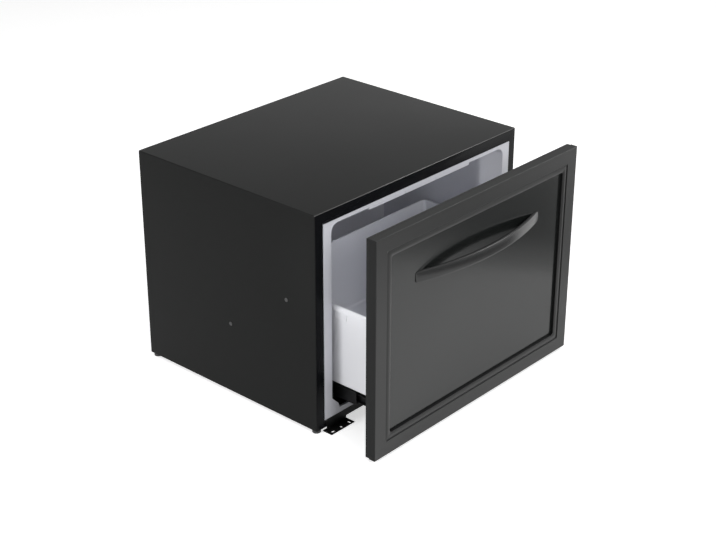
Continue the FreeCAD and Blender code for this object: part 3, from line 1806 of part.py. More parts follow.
def make_door_foam():
    """Foam core that fills the door from the panel to the inner door."""
    layers = [
        door_block("core_front", "RecessInset - PanelLap", ("PanelBack", "FrameBack")),
        door_block("core_tray", "TrayInset + TraySheet", ("FrameBack", "DoorBack - TraySheet")),
        door_block("core_neck", "TrayFlange", ("DoorBack - TraySheet", "DoorBack")),
        plug_block(
            "core_plug",
            "0 - BackSheet - FoamClear",
            ("DoorBack - TraySheet", "PlugEnd - BackSheet - FoamClear"),
            "PlugCorner - BackSheet",
        ),
    ]
    pockets = [
        rod(
            f"core_pocket_{index}",
            "y",
            "HandleScrewHead + ScrewClear",
            place,
            ("PanelBack - CutOverrun", "PanelBack + ScrewHeadThick + ScrewClear"),
        )
        for index, place in enumerate(handle_screw_places())
    ]
    pockets += [
        rod(
            f"core_fixing_{index}",
            "y",
            "ScrewShank + ScrewClear",
            place,
            ("BackFace - ScrewLength", "BackFace"),
        )
        for index, place in enumerate(carriage_screw_places())
    ]
    settle(cut("core", fuse("core_solid", layers), pockets), "door_foam", 1)


def make_gasket():
    """Soft magnetic gasket on the inner door's flange."""
    y = ("BackFace", "BackFace + GasketThick")
    side = "OpeningHalf + GasketSideLap"
    low = "OpeningLow - GasketLowLap"
    high = "OpeningHigh + GasketHighLap"
    outer = block(
        "gasket_outer",
        (f"-({side} + GasketWidth)", f"{side} + GasketWidth"),
        y,
        (f"{low} - GasketWidth", f"{high} + GasketWidth"),
    )
    inner = block(
        "gasket_inner",
        (f"-({side})", side),
        ("BackFace - CutOverrun", f"{y[1]} + CutOverrun"),
        (low, high),
    )
    ring = cut("gasket_ring", outer, [inner])
    document.recompute()
    end = value(y[1]) - TOUCH
    settle(rounded("gasket", ring, "GasketBulge", lambda bounds: bounds.YMin > end), "door_gasket", 1)


def make_switch_magnet():
    """Small magnet block on the inner door that works the door switch."""
    right = "DialAcross - StatHalf - HousingWall"
    low = "PlugHigh + MagnetRise"
    case = block(
        "magnet_case",
        (f"{right} - MagnetWidth", right),
        ("BackFace", "BackFace + MagnetThick"),
        (low, f"{low} + MagnetHeight"),
    )
    settle(case, "switch_magnet", 1)


def bow(name, half, reach, over):
    """An upright drum whose front stands proud of the panel as a shallow bow."""
    radius = f"(({half})^2 + ({reach})^2) / (2 * ({reach}))"
    middle = f"PanelFace - ({reach}) + {radius}"
    rise = f"HandleHeight / 2 + {over}"
    return rod(name, "z", radius, ("0", middle), (f"HandleRise - ({rise})", f"HandleRise + {rise}"))


def make_handle():
    """Bow handle: a strap that arches off the panel and ends in two flat feet."""
    half = "HandleLength / 2"
    strip = block(
        "handle_strip",
        (f"-{half}", half),
        ("PanelFace - HandleReach - CutOverrun", "PanelFace"),
        ("HandleRise - HandleHeight / 2", "HandleRise + HandleHeight / 2"),
    )
    lens = document.addObject("Part::Common", "handle_lens")
    lens.Base = rounded("handle_tips", strip, "HandleTip", runs_along("Y"))
    drum = bow("handle_front", half, "HandleReach", "0")
    lens.Tool = rounded("handle_eased", drum, "HandleRound", lambda bounds: bounds.ZLength < TOUCH)
    gap = bow("handle_gap", f"{half} - HandleFoot", "HandleReach - HandleThick", "CutOverrun")
    holes = [
        rod(
            f"handle_hole_{index}",
            "y",
            "HandleScrewShank",
            place,
            ("PanelFace - HandleScrewBite", "PanelFace + CutOverrun"),
        )
        for index, place in enumerate(handle_screw_places())
    ]
    settle(cut("handle_strap", lens, [gap] + holes), "handle", 1)
    screws = []
    for index, place in enumerate(handle_screw_places()):
        head = rod(
            f"handle_screw_head_{index}",
            "y",
            "HandleScrewHead",
            place,
            ("PanelBack", "PanelBack + ScrewHeadThick"),
        )
        shank = rod(
            f"handle_screw_shank_{index}",
            "y",
            "HandleScrewShank",
            place,
            ("PanelFace - HandleScrewBite", "PanelBack"),
        )
        screws.append(fuse(f"handle_screw_{index}", [head, shank]))
    settle(group("handle_screw_group", screws), "handle_screws", 1)


def make_bin():
    """White moulded bin with a flat turned-out rim."""
    x = ("-BinHalf", "BinHalf")
    y = ("BinFront", "BinBack")
    box = rounded("bin_box", block("bin_block", x, y, ("DeckTop", "RimTop")), "BinCorner", runs_along("Z"))
    lip_block = block(
        "bin_lip_block",
        ("-(BinHalf + RimReach)", "BinHalf + RimReach"),
        ("BinFront - RimReach", "BinBack + RimReach"),
        ("RimTop - RimHeight", "RimTop"),
    )
    lip = rounded("bin_lip", lip_block, "BinCorner + RimReach", runs_along("Z"))
    hollow = block(
        "bin_hollow",
        ("-(BinHalf - BinWall)", "BinHalf - BinWall"),
        ("BinFront + BinWall", "BinBack - BinWall"),
        ("DeckTop + BinFloor", "RimTop + CutOverrun"),
    )
    room = rounded("bin_room", hollow, "BinCorner - BinWall", runs_along("Z"))
    settle(cut("bin_shell", fuse("bin_solid", [box, lip]), [room]), "bin", 1)


def make_carriage():
    """Black folded-steel carriage: deck, two skirts on the slides and a front plate."""
    half = "CarriageHalf"
    inside = "CarriageHalf - CarriageSheet"
    deck = block(
        "deck",
        (f"-({half})", half),
        ("BackFace", "DeckBack"),
        ("DeckTop - CarriageSheet", "DeckTop"),
    )
    front = block(
        "deck_front",
        (f"-({half})", half),
        ("BackFace", "BackFace + CarriageSheet"),
        ("CarriageFrontLow", "DeckTop"),
    )
    pieces = [deck, front]
    holes = []
    for side, turn in SIDES.items():
        x = mirrored(turn, inside, half)
        pieces.append(
            block(
                f"deck_skirt_{side}",
                x,
                ("BackFace", "DeckBack"),
                ("DeckTop - CarriageSkirt", "DeckTop"),
            ),
        )
        holes += rail_holes(
            f"deck_hole_{side}",
            turn,
            ("CarriageHalf - CutOverrun", "CarriageHalf + CutOverrun"),
        )
    holes += [
        rod(
            f"deck_fixing_{index}",
            "y",
            "ScrewShank + ScrewClear",
            place,
            ("BackFace - CutOverrun", "BackFace + CutOverrun"),
        )
        for index, place in enumerate(carriage_screw_places())
    ]
    settle(cut("carriage_steel", fuse("carriage_folded", pieces), holes), "carriage", 1)
    screws = [
        screw(
            f"carriage_screw_{index}",
            "y",
            place,
            "BackFace + CarriageSheet",
            1,
            "CarriageSheet + BackSheet + ScrewLength / 2",
        )
        for index, place in enumerate(carriage_screw_places())
    ]
    screws += [
        screw(
            f"skirt_screw_{side}_{index}",
            "x",
            place,
            f"{turn} * ({inside})",
            -turn,
            "CarriageSheet + RailSheet",
        )
        for side, turn in SIDES.items()
        for index, place in enumerate(rail_screw_places())
    ]
    settle(group("carriage_screw_group", screws), "carriage_screws", 1)


make_outer_shell()
make_side_plugs()
make_base_panel()
make_feet()
make_fixing_brackets()
make_bracket_screws()
make_liner()
make_insulation()
make_rear_wall()
make_control_housing()
make_light()
make_thermostat()
make_door_switch()
make_evaporator()
make_liner_screws()
make_drip_channel()
make_drain_tube()
make_compressor()
make_relay_cover()
make_condensate_tray()
make_condenser()
make_filter_drier()
make_pipes()
make_power_inlet()
make_back_panel()
make_runner_brackets()
make_rails()
make_ball_cages()
make_door_frame()
make_door_panel()
make_door_tray()
make_door_back()
make_door_foam()
make_gasket()
make_switch_magnet()
make_handle()
make_bin()
make_carriage()
document.recompute()

faults = [one.Name for one in document.Objects if {"Invalid", "Error"} & set(one.State)]
faults += [one.Label for one in NODES if one.Shape.isNull() or not one.Shape.isValid()]
if faults:
    raise SystemExit("not built: " + ", ".join(faults))

os.makedirs("parts", exist_ok=True)
for node in NODES:
    node.Shape.exportStep(f"parts/{node.Label}.step")
print(len(NODES), "parts written")
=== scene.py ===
import math

import bmesh
import bpy
from mathutils import Matrix, Vector


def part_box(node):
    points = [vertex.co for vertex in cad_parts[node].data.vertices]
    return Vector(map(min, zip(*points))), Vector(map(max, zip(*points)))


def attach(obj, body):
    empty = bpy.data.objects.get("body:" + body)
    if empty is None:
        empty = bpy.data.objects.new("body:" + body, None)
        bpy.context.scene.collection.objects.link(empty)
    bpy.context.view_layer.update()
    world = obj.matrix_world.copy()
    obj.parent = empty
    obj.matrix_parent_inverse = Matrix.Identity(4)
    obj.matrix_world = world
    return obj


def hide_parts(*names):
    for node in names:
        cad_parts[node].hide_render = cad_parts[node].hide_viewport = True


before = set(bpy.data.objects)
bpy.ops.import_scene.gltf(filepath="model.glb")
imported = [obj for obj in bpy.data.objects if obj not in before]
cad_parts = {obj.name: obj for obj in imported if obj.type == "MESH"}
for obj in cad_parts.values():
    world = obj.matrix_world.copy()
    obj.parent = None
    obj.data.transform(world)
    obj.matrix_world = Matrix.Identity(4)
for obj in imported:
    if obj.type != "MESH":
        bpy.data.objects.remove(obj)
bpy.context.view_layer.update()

# Camera at the photograph's angle: above the cabinet's left front corner,
# level to a tenth of a degree, with a long lens for 716 x 540 pixels.
turn = math.radians(-48.2)
tilt = math.radians(26.03)
roll = math.radians(0.1)
aim = Vector((-0.1818, 0, 0.2944))
camera_distance = 2.69
level_reach = math.cos(tilt)
back = Vector((math.sin(turn) * level_reach, -math.cos(turn) * level_reach, math.sin(tilt)))
rolled_over = Matrix.Rotation(roll, 3, "Z").to_quaternion()
lens = bpy.data.cameras.new("camera")
lens.sensor_width = 36
lens.lens = 79.04
camera = bpy.data.objects.new("camera", lens)
camera.location = aim + back * camera_distance
camera.rotation_euler = (back.to_track_quat("Z", "Y") @ rolled_over).to_euler()
bpy.context.collection.objects.link(camera)
bpy.context.scene.camera = camera
bpy.context.scene.view_settings.view_transform = "Standard"

# Studio: a plain pale floor, a white surround for the camera and for gloss,
# and large soft lamps at a plain level.
floor_reach = 6
floor_drop = 0.0002
floor_shade = 0.93
floor_glow = 0.6
world_white = 1
world_light = 0.07
lamp_aim = Vector((0, 0.1, 0.2))


class Value:
    """One output of a shader tree, on which arithmetic adds Math nodes."""

    def __init__(self, tree, socket):
        self.tree = tree
        self.socket = socket

    def math(self, operation, *others, clamp=False):
        step = self.tree.nodes.new("ShaderNodeMath")
        step.operation = operation
        step.use_clamp = clamp
        for place, item in zip(step.inputs, (self, *others)):
            if isinstance(item, Value):
                self.tree.links.new(item.socket, place)
            else:
                place.default_value = item
        return Value(self.tree, step.outputs[0])

    def __add__(self, other):
        return self.math("ADD", other)

    __radd__ = __add__

    def __mul__(self, other):
        return self.math("MULTIPLY", other)

    __rmul__ = __mul__

    def __sub__(self, other):
        return self.math("SUBTRACT", other)

    def __rsub__(self, other):
        return (self * -1) + other

    def held(self):
        """The same value kept between 0 and 1."""
        return self.math("ADD", 0, clamp=True)


class Finish:
    """A surface finish: one Principled shader and the nodes that vary it."""

    def __init__(self, name, colour, roughness, **fixed):
        self.material = bpy.data.materials.new(name)
        self.material.use_nodes = True
        self.tree = self.material.node_tree
        self.shader = self.tree.nodes["Principled BSDF"]
        self.colour = colour
        self.shader.inputs["Base Color"].default_value = (*colour, 1)
        self.shader.inputs["Roughness"].default_value = roughness
        for socket, amount in fixed.items():
            self.shader.inputs[socket.replace("_", " ")].default_value = amount

    def node(self, kind, settings=None, output=0, **inputs):
        """Adds a node, sets its settings first, then its values and links."""
        made = self.tree.nodes.new("ShaderNode" + kind)
        for key, setting in (settings or {}).items():
            setattr(made, key, setting)
        for key, item in inputs.items():
            place = made.inputs[key.replace("_", " ")]
            if isinstance(item, Value):
                self.tree.links.new(item.socket, place)
            else:
                place.default_value = item
        return Value(self.tree, made.outputs[output])

    def place(self, scale=(1, 1, 1)):
        """Object coordinates, stretched along the axes."""
        spot = self.node("TexCoord", output="Object")
        return self.node("Mapping", Vector=spot, Scale=scale)

    def noise(self, size, detail=3, stretch=(1, 1, 1)):
        """Soft noise whose grains are about one size in metres."""
        return self.node("TexNoise", Vector=self.place(stretch), Scale=1 / size, Detail=detail)

    def feed(self, socket, item):
        """Links a value to one of the shader's own sockets."""
        self.tree.links.new(item.socket, self.shader.inputs[socket])

    def tint(self, mask, other):
        """Turns the base colour towards another where the mask is high."""
        plain, tinted = (*self.colour, 1), (*other, 1)
        mixed = self.node("Mix", {"data_type": "RGBA"}, "Result", Factor=mask, A=plain, B=tinted)
        self.feed("Base Color", mixed)

    def bump(self, height, strength, distance):
        """Raises the surface by a height value."""
        self.feed("Normal", self.node("Bump", Strength=strength, Distance=distance, Height=height))


def lamp(name, place, size, power):
    """A square soft lamp that faces the cabinet's middle."""
    light = bpy.data.lights.new(name, "AREA")
    light.size = size
    light.energy = power
    stand = bpy.data.objects.new(name, light)
    stand.location = place
    stand.rotation_euler = (Vector(place) - lamp_aim).to_track_quat("Z", "Y").to_euler()
    bpy.context.collection.objects.link(stand)


lamp("front_lamp", (-0.85, -2.9, 1.9), 1.3, 50)
lamp("top_lamp", (0.2, 0.1, 3.2), 2.6, 36)
lamp("side_lamp", (-3.0, 0.7, 1.5), 0.75, 50)
lamp("edge_lamp", (2.35, -1.55, 2.1), 1.0, 30)

# Wall lamp: a narrow beam with soft edges, which passes the drawer's front and lights the
# right inner wall, as in the photograph.
wall_place = Vector((-3.0, -0.32, 0.47))
wall_aim = Vector((0.236, 0.045, 0.295))
wall_light = bpy.data.lights.new("wall_lamp", "SPOT")
wall_light.energy = 330
wall_light.spot_size = math.radians(2.7)
wall_light.spot_blend = 1
wall_light.shadow_soft_size = 0.1
wall_stand = bpy.data.objects.new("wall_lamp", wall_light)
wall_stand.location = wall_place
wall_stand.rotation_euler = (wall_place - wall_aim).to_track_quat("Z", "Y").to_euler()
bpy.context.collection.objects.link(wall_stand)


def by_ray(tree, seen, lit):
    """One strength for the rays that show the background, another for light on the object."""
    path = tree.nodes.new("ShaderNodeLightPath")
    names = ("Is Camera Ray", "Is Glossy Ray", "Is Transmission Ray")
    camera_ray, gloss_ray, glass_ray = (Value(tree, path.outputs[name]) for name in names)
    shown = camera_ray.math("MAXIMUM", gloss_ray).math("MAXIMUM", glass_ray)
    return shown * (seen - lit) + lit


def stage_card(name, mesh, finish):
    """Makes an object of the studio from a built mesh."""
    data = bpy.data.meshes.new(name)
    mesh.to_mesh(data)
    mesh.free()
    data.materials.append(finish.material)
    card = bpy.data.objects.new(name, data)
    bpy.context.collection.objects.link(card)
    return card


world = bpy.data.worlds.new("studio")
bpy.context.scene.world = world
world.use_nodes = True
tree = world.node_tree
sky = tree.nodes["Background"]
sky.inputs["Color"].default_value = (1, 1, 1, 1)
tree.links.new(by_ray(tree, world_white, world_light).socket, sky.inputs["Strength"])

floor_paint = Finish("floor", (floor_shade, floor_shade, floor_shade), 0.9)
floor_paint.shader.inputs["Emission Color"].default_value = (1, 1, 1, 1)
floor_paint.feed("Emission Strength", by_ray(floor_paint.tree, floor_glow, 0))
mesh = bmesh.new()
bmesh.ops.create_grid(mesh, x_segments=1, y_segments=1, size=floor_reach)
bmesh.ops.translate(mesh, verts=mesh.verts, vec=(0, 0, -floor_drop))
stage_card("floor", mesh, floor_paint)

# Flag: a grey card that lies on the table in front of the drawer and shows in gloss alone,
# so that the upper part of the front darkens as it does over a table's edge.
flag_low = (-1.2, -1.12)
flag_high = (0.71, -0.43)
flag_level = 0.3
flag_soft_near = 0.28
flag_soft_far = 0.22
flag_soft_end = 0.04
flag_turn = math.radians(57)
flag_pivot = (0.49, -0.47, 0)

flag_paint = Finish("flag", (0, 0, 0), 0.5, Specular_IOR_Level=0, Emission_Strength=1)
spot = flag_paint.node("TexCoord", output="UV")
fades = []
flag_edges = (("X", 1, flag_soft_end), ("Y", 1, flag_soft_near), ("Y", 0, -flag_soft_far))
for axis, edge, soft in flag_edges:
    across = flag_paint.node("SeparateXYZ", output=axis, Vector=spot)
    ends = {"From_Min": edge - soft, "From_Max": edge, "To_Min": flag_level}
    fades.append(flag_paint.node("MapRange", Value=across, **ends))
flag_paint.feed("Emission Color", fades[0].math("MAXIMUM", fades[1]).math("MAXIMUM", fades[2]))
flag_size = (flag_high[0] - flag_low[0], flag_high[1] - flag_low[1], 1)
flag_middle = ((flag_low[0] + flag_high[0]) / 2, (flag_low[1] + flag_high[1]) / 2, floor_drop)
flag_turned = Matrix.Rotation(flag_turn, 3, "Z")
mesh = bmesh.new()
mesh.loops.layers.uv.new("UVMap")
bmesh.ops.create_grid(mesh, x_segments=1, y_segments=1, size=0.5, calc_uvs=True)
bmesh.ops.scale(mesh, verts=mesh.verts, vec=flag_size)
bmesh.ops.translate(mesh, verts=mesh.verts, vec=flag_middle)
bmesh.ops.rotate(mesh, verts=mesh.verts, cent=flag_pivot, matrix=flag_turned)
flag = stage_card("flag", mesh, flag_paint)
for ray in ("camera", "diffuse", "transmission", "shadow", "volume_scatter"):
    setattr(flag, "visible_" + ray, False)

# Cabinet shell: one folded sheet of steel over the sides and the top, whose front edge
# turns in as the border round the mouth. Powder coated in fine, semi-matt black.
same_place = 1e-6
square_on = 0.99


def node_finish(finish, *names):
    """Gives a carried-over node its finish."""
    for name in names:
        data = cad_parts[name].data
        data.materials.clear()
        data.materials.append(finish.material)


def new_piece(name, mesh, finish, body, slot, *replaced):
    """Makes a finished piece from a built mesh, which rides on a body; its slot is not used."""
    data = bpy.data.meshes.new(name)
    mesh.to_mesh(data)
    mesh.free()
    data.materials.append(finish.material)
    piece = bpy.data.objects.new(name, data)
    bpy.context.collection.objects.link(piece)
    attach(piece, body)
    if replaced:
        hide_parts(*replaced)
    return piece


def smooth_by_angle(mesh, limit=35):
    """Shades gentle turns smooth and keeps sharp edges sharp."""
    for face in mesh.faces:
        face.smooth = True
    for edge in mesh.edges:
        edge.smooth = len(edge.link_faces) == 2 and edge.calc_face_angle(0) < math.radians(limit)


def add_block(mesh, low, high):
    """Adds a plain box between two corners and gives its vertices."""
    made = bmesh.ops.create_cube(mesh, size=1)["verts"]
    size = [high[i] - low[i] for i in range(3)]
    middle = [(high[i] + low[i]) / 2 for i in range(3)]
    bmesh.ops.scale(mesh, verts=made, vec=size)
    bmesh.ops.translate(mesh, verts=made, vec=middle)
    return made


def once(items):
    """Each item a single time, in the order met, which is the same in every run."""
    return list(dict.fromkeys(items))


def edges_of(verts, wanted):
    """The edges between some vertices that a test picks out by their two ends."""
    chosen = set(verts)
    found = once(edge for vert in verts for edge in vert.link_edges)
    inner = [edge for edge in found if chosen.issuperset(edge.verts)]
    return [edge for edge in inner if wanted(edge.verts[0].co, edge.verts[1].co)]


def ease(mesh, edges, radius, segments, clamped=False):
    """Rounds some edges, and keeps short ones from crossing when clamped."""
    bmesh.ops.bevel(
        mesh,
        geom=edges,
        offset=radius,
        segments=segments,
        profile=0.5,
        affect="EDGES",
        material=-1,
        clamp_overlap=clamped,
    )


def along(axis):
    """A test for edges that run along one axis."""
    others = [i for i in range(3) if i != axis]
    return lambda a, b: all(abs(a[i] - b[i]) < same_place for i in others)


def level_at(axis, place, *spots):
    """True where some points all lie at one place on an axis."""
    return all(abs(spot[axis] - place) < same_place for spot in spots)


shell_low, shell_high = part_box("outer_shell")
sheet_steel = 0.0008
shell_bend = 0.002
border = 0.024

coat = Finish("black_coat", (0.0078, 0.008, 0.0078), 0.42, Specular_IOR_Level=0.085)
grain = coat.noise(0.0009, detail=2)
broad = coat.noise(0.35, detail=2)
coat.bump(grain, 0.25, 0.0001)
coat.feed("Roughness", (broad * 0.12 + grain * 0.06 + 0.33).held())
coat.tint(broad, (0.007, 0.0075, 0.0073))

mesh = bmesh.new()
box = add_block(mesh, shell_low, shell_high)
front = shell_low[1]
low_edge = shell_low[2]
roof = shell_high[2]


def folded(a, b):
    """The edges where the sheet is bent: round the front, but not below, and along the roof."""
    on_front = level_at(1, front, a, b) and not level_at(2, low_edge, a, b)
    return on_front or (level_at(2, roof, a, b) and along(1)(a, b))


ease(mesh, edges_of(box, folded), shell_bend, 4)
gone = [f for f in mesh.faces if f.normal.y > square_on or f.normal.z < -square_on]
bmesh.ops.delete(mesh, geom=gone, context="FACES")
face = max((f for f in mesh.faces if f.normal.y < -square_on), key=lambda f: f.calc_area())
bmesh.ops.delete(mesh, geom=[face], context="FACES_ONLY")
rim = [e for e in mesh.edges if e.is_boundary and level_at(1, front, *(v.co for v in e.verts))]
turned = bmesh.ops.extrude_edge_only(mesh, edges=rim)["geom"]
for vert in (v for v in turned if isinstance(v, bmesh.types.BMVert)):
    side = 1 if vert.co.x > 0 else -1
    vert.co.x = side * (shell_high[0] - border)
    if vert.co.z > low_edge + border:
        vert.co.z = roof - border
bmesh.ops.remove_doubles(mesh, verts=mesh.verts, dist=same_place)
low_faces = [f for f in mesh.faces if f.calc_center_median().z < low_edge + border]
stray = [f for f in low_faces if f.normal.z > square_on]
bmesh.ops.delete(mesh, geom=stray, context="FACES")
smooth_by_angle(mesh)
# The border that faces the front is painted a darker, glossier black than the sides: partly a coat
# of its own, partly painted shade from the drawer front that stands before it.
border_coat_and_shade = Finish("border_black_and_shade", (0.0035, 0.0038, 0.0046), 0.26, Specular_IOR_Level=0.07)
border_coat_and_shade.feed("Roughness", (border_coat_and_shade.noise(0.12, detail=2) * 0.1 + 0.2).held())
# The rounded bend along the top front edge takes a lighter and much glossier black, a painted
# highlight that draws it as a bright line.
bend_highlight_paint = Finish("bend_highlight_black", (0.012, 0.0115, 0.011), 0.3, Specular_IOR_Level=0.6)
bend_highlight_paint.feed("Roughness", (bend_highlight_paint.noise(0.05, detail=2) * 0.12 + 0.24).held())
# Faces on the top front bend take the painted highlight, and faces that look to the front take the
# border's black with its painted shade.
lean_least = 0.2
front_most = 0.9
for face in mesh.faces:
    on_bend = face.normal.y < -lean_least and face.normal.z > lean_least
    face.material_index = 2 if on_bend else (1 if face.normal.y < -front_most else 0)
shell = new_piece("shell_sheet", mesh, coat, "cabinet", "black_steel", "outer_shell")
shell.data.materials.append(border_coat_and_shade.material)
shell.data.materials.append(bend_highlight_paint.material)
wall = shell.modifiers.new("wall", "SOLIDIFY")
wall.thickness = sheet_steel
wall.offset = -1

# Base panel, fixing brackets and rear panel: pressed steel in the same powder coat. Their cut
# edges are eased as a press and the coat leave them.


def merged_copy(node):
    """A welded copy of a node's mesh, with its flat faces whole again."""
    flat = math.radians(1)
    mesh = bmesh.new()
    mesh.from_mesh(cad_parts[node].data)
    bmesh.ops.remove_doubles(mesh, verts=mesh.verts, dist=same_place)
    bmesh.ops.dissolve_limit(
        mesh, angle_limit=flat, verts=mesh.verts, edges=mesh.edges, delimit={"NORMAL"}
    )
    return mesh


def sharp_edges(mesh):
    """Edges where two faces meet at more than a gentle angle."""
    gentle = math.radians(30)
    joined = [edge for edge in mesh.edges if len(edge.link_faces) == 2]
    return [edge for edge in joined if edge.calc_face_angle(0) > gentle]


def even_normals(piece):
    """Lets broad flat faces keep their own shading beside narrow rounded ones."""
    piece.modifiers.new("even_normals", "WEIGHTED_NORMAL").keep_sharp = True
    return piece


def eased_part(node, finish, body, slot, radius=0.0003, segments=2):
    """A node's own shape with its sharp edges eased, in place of the node."""
    mesh = merged_copy(node)
    ease(mesh, sharp_edges(mesh), radius, segments, clamped=True)
    smooth_by_angle(mesh)
    return even_normals(new_piece(node + "_eased", mesh, finish, body, slot, node))


for name in ("base_panel", "fixing_bracket_left", "fixing_bracket_right", "back_panel"):
    eased_part(name, coat, "cabinet", "black_steel")

# Door tray: the folded strip of steel behind the door frame, which holds the foam's edge.
# Its coat is a little more matt than the cabinet's.
tray_coat = Finish("tray_coat", (0.008, 0.0084, 0.0084), 0.45, Specular_IOR_Level=0.12)
tray_grain = tray_coat.noise(0.0009, detail=2)
tray_coat.bump(tray_grain, 0.25, 0.0001)
tray_coat.feed("Roughness", (tray_grain * 0.12 + 0.42).held())
eased_part("door_tray", tray_coat, "drawer", "black_steel")

# Feet and side plugs: small black mouldings with a fine eroded skin. The feet are pushed
# into the base panel, and the plugs close the shell's foaming holes.
moulded_black = Finish("moulded_black", (0.022, 0.022, 0.023), 0.5)
skin = moulded_black.noise(0.0006, detail=2)
moulded_black.bump(skin, 0.3, 0.00008)
moulded_black.feed("Roughness", (skin * 0.15 + 0.42).held())
for name in ("feet", "side_plugs"):
    eased_part(name, moulded_black, "cabinet", "black_plastic", 0.0006, 3)

# Liner: one vacuum-formed tub of light grey plastic sheet. Its flange shows as the pale
# frame round the mouth, and its skin has the faint pull of the forming.
liner_paint = Finish("liner_plastic", (0.68, 0.685, 0.73), 0.38, Specular_IOR_Level=0.45)
pull = liner_paint.noise(0.02, detail=3, stretch=(1, 1, 0.2))
liner_paint.bump(pull, 0.12, 0.0003)
liner_paint.feed("Roughness", (pull * 0.14 + 0.31).held())
liner_paint.tint(pull, (0.65, 0.655, 0.70))
eased_part("liner", liner_paint, "cabinet", "liner_grey", 0.0012, 3)
housing = eased_part("control_housing", liner_paint, "cabinet", "liner_grey", 0.0006, 2)

# Seams of the control housing: the long moulding under the ceiling, in the liner's grey, has
# two fine grooves across its front and its underside, beside the cover of its lens.
seam_place = 0.0425
seam_wide = 0.0016
seam_deep = 0.0012
seam_reach = 0.001
hair = 1e-7
housing_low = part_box("control_housing")[0]
mesh = bmesh.new()
mesh.from_mesh(housing.data)
for seam in (-seam_place, seam_place):
    for step in (-1, 0, 1):
        whole = mesh.verts[:] + mesh.edges[:] + mesh.faces[:]
        cut = (seam + step * seam_wide / 2, 0, 0)
        bmesh.ops.bisect_plane(mesh, geom=whole, plane_co=cut, plane_no=(1, 0, 0), dist=hair)
    mesh.normal_update()
    for vert in [vert for vert in mesh.verts if level_at(0, seam, vert.co)]:
        if vert.co.y < housing_low[1] + seam_reach or vert.co.z < housing_low[2] + seam_reach:
            vert.co -= vert.normal * seam_deep
mesh.normal_update()
smooth_by_angle(mesh)
mesh.to_mesh(housing.data)
mesh.free()

# Foam: rigid polyurethane, poured in behind the liner and in the door, where it sticks to
# the sheets round it. Pale yellow, with open cells where it is cut.
foam_paint = Finish("foam", (0.72, 0.62, 0.38), 0.9)
cells = foam_paint.node("TexVoronoi", Vector=foam_paint.place(), Scale=700.0)
foam_paint.bump(cells, 0.6, 0.0006)
foam_paint.tint(foam_paint.noise(0.03), (0.66, 0.55, 0.31))
node_finish(foam_paint, "insulation", "door_foam")

# Door frame: one black moulding round the drawer front. A broad flat band, a fine groove,
# a narrow crowned band, and a deep wall down to the panel that it holds from the front.
frame_low, frame_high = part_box("door_frame")
frame_front = frame_low[1]
frame_back = frame_high[1]
panel_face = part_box("door_panel")[0][1]
band = 0.027
groove_wide = 0.0016
groove_deep = 0.0012
crown_drop = 0.0004
crown_rise = 0.0012
recess_inset = 0.0396
rebate_inset = 0.0343
edge_round = 0.0014
inner_round = 0.0045
edge_break = 0.0004
wall_step = 0.0002
wall_start = 0.0005
side_facing = 0.95


def arc(centre, radius, start, end, steps):
    """Points of an arc in a profile, as an inset and a depth."""
    turns = [math.radians(start + (end - start) * i / steps) for i in range(steps + 1)]
    return [(centre[0] + radius * math.cos(a), centre[1] + radius * math.sin(a)) for a in turns]


def ring_from_profile(mesh, profile, low, high, rounding, steps=6):
    """Carries a profile of insets and depths round a rectangle, with its corners rounded."""
    rows = []
    middle = Vector(((low[0] + high[0]) / 2, 0, (low[2] + high[2]) / 2))
    for across, up in ((-1, -1), (1, -1), (1, 1), (-1, 1)):
        order = range(steps + 1) if across * up > 0 else range(steps, -1, -1)
        for step in order:
            angle = math.pi / 2 * step / steps
            row = []
            for inset, depth in profile:
                radius = rounding(inset)
                reach_x = (high[0] - low[0]) / 2 - inset - radius * (1 - math.cos(angle))
                reach_z = (high[2] - low[2]) / 2 - inset - radius * (1 - math.sin(angle))
                place = (middle.x + across * reach_x, depth, middle.z + up * reach_z)
                row.append(mesh.verts.new(place))
            rows.append([mesh.edges.new((row[i - 1], row[i])) for i in range(len(row))])
    for index, row in enumerate(rows):
        bmesh.ops.bridge_loops(mesh, edges=row + rows[(index + 1) % len(rows)])
    bmesh.ops.remove_doubles(mesh, verts=mesh.verts, dist=hair)
    bmesh.ops.dissolve_degenerate(mesh, edges=mesh.edges, dist=hair)
    bmesh.ops.recalc_face_normals(mesh, faces=mesh.faces)


groove_floor = frame_front + groove_deep
crown = frame_front + crown_drop
profile = [(0, frame_back)]
profile += arc((edge_round, frame_front + edge_round), edge_round, 180, 270, 4)
profile += [(band - edge_break, frame_front), (band, frame_front + edge_break)]
profile += [(band, groove_floor)]
crown_wide = recess_inset - band - groove_wide
crown_radius = (crown_wide**2 / 4 + crown_rise**2) / (2 * crown_rise)
crown_turn = math.degrees(math.asin(crown_wide / 2 / crown_radius))
crown_centre = (band + groove_wide + crown_wide / 2, crown + crown_radius)
profile += [(band + groove_wide, groove_floor)]
profile += arc(crown_centre, crown_radius, -90 - crown_turn, -90 + crown_turn, 12)
wall_inset = recess_inset + wall_step
profile += [(wall_inset, crown + crown_rise + edge_break), (wall_inset, panel_face)]
profile += [(rebate_inset, panel_face), (rebate_inset, frame_back)]

frame_paint = Finish("frame_black", (0.012, 0.0123, 0.0121), 0.36, Specular_IOR_Level=0.32)
# The frame's outer sides and its deep wall down to the panel take a darker, more matt black; on
# the deep wall this is painted shade, which draws the recess as a dark line.
sides_and_wall_shade_paint = Finish("frame_sides_and_wall_shade", (0.007, 0.0072, 0.0072), 0.45, Specular_IOR_Level=0.12)
sides_and_wall_shade_paint.bump(sides_and_wall_shade_paint.noise(0.0011, detail=3), 0.2, 0.00008)
leather = frame_paint.noise(0.0011, detail=3)
frame_paint.bump(leather, 0.2, 0.00008)
frame_paint.feed("Roughness", (frame_paint.noise(0.08) * 0.08 + leather * 0.06 + 0.3).held())


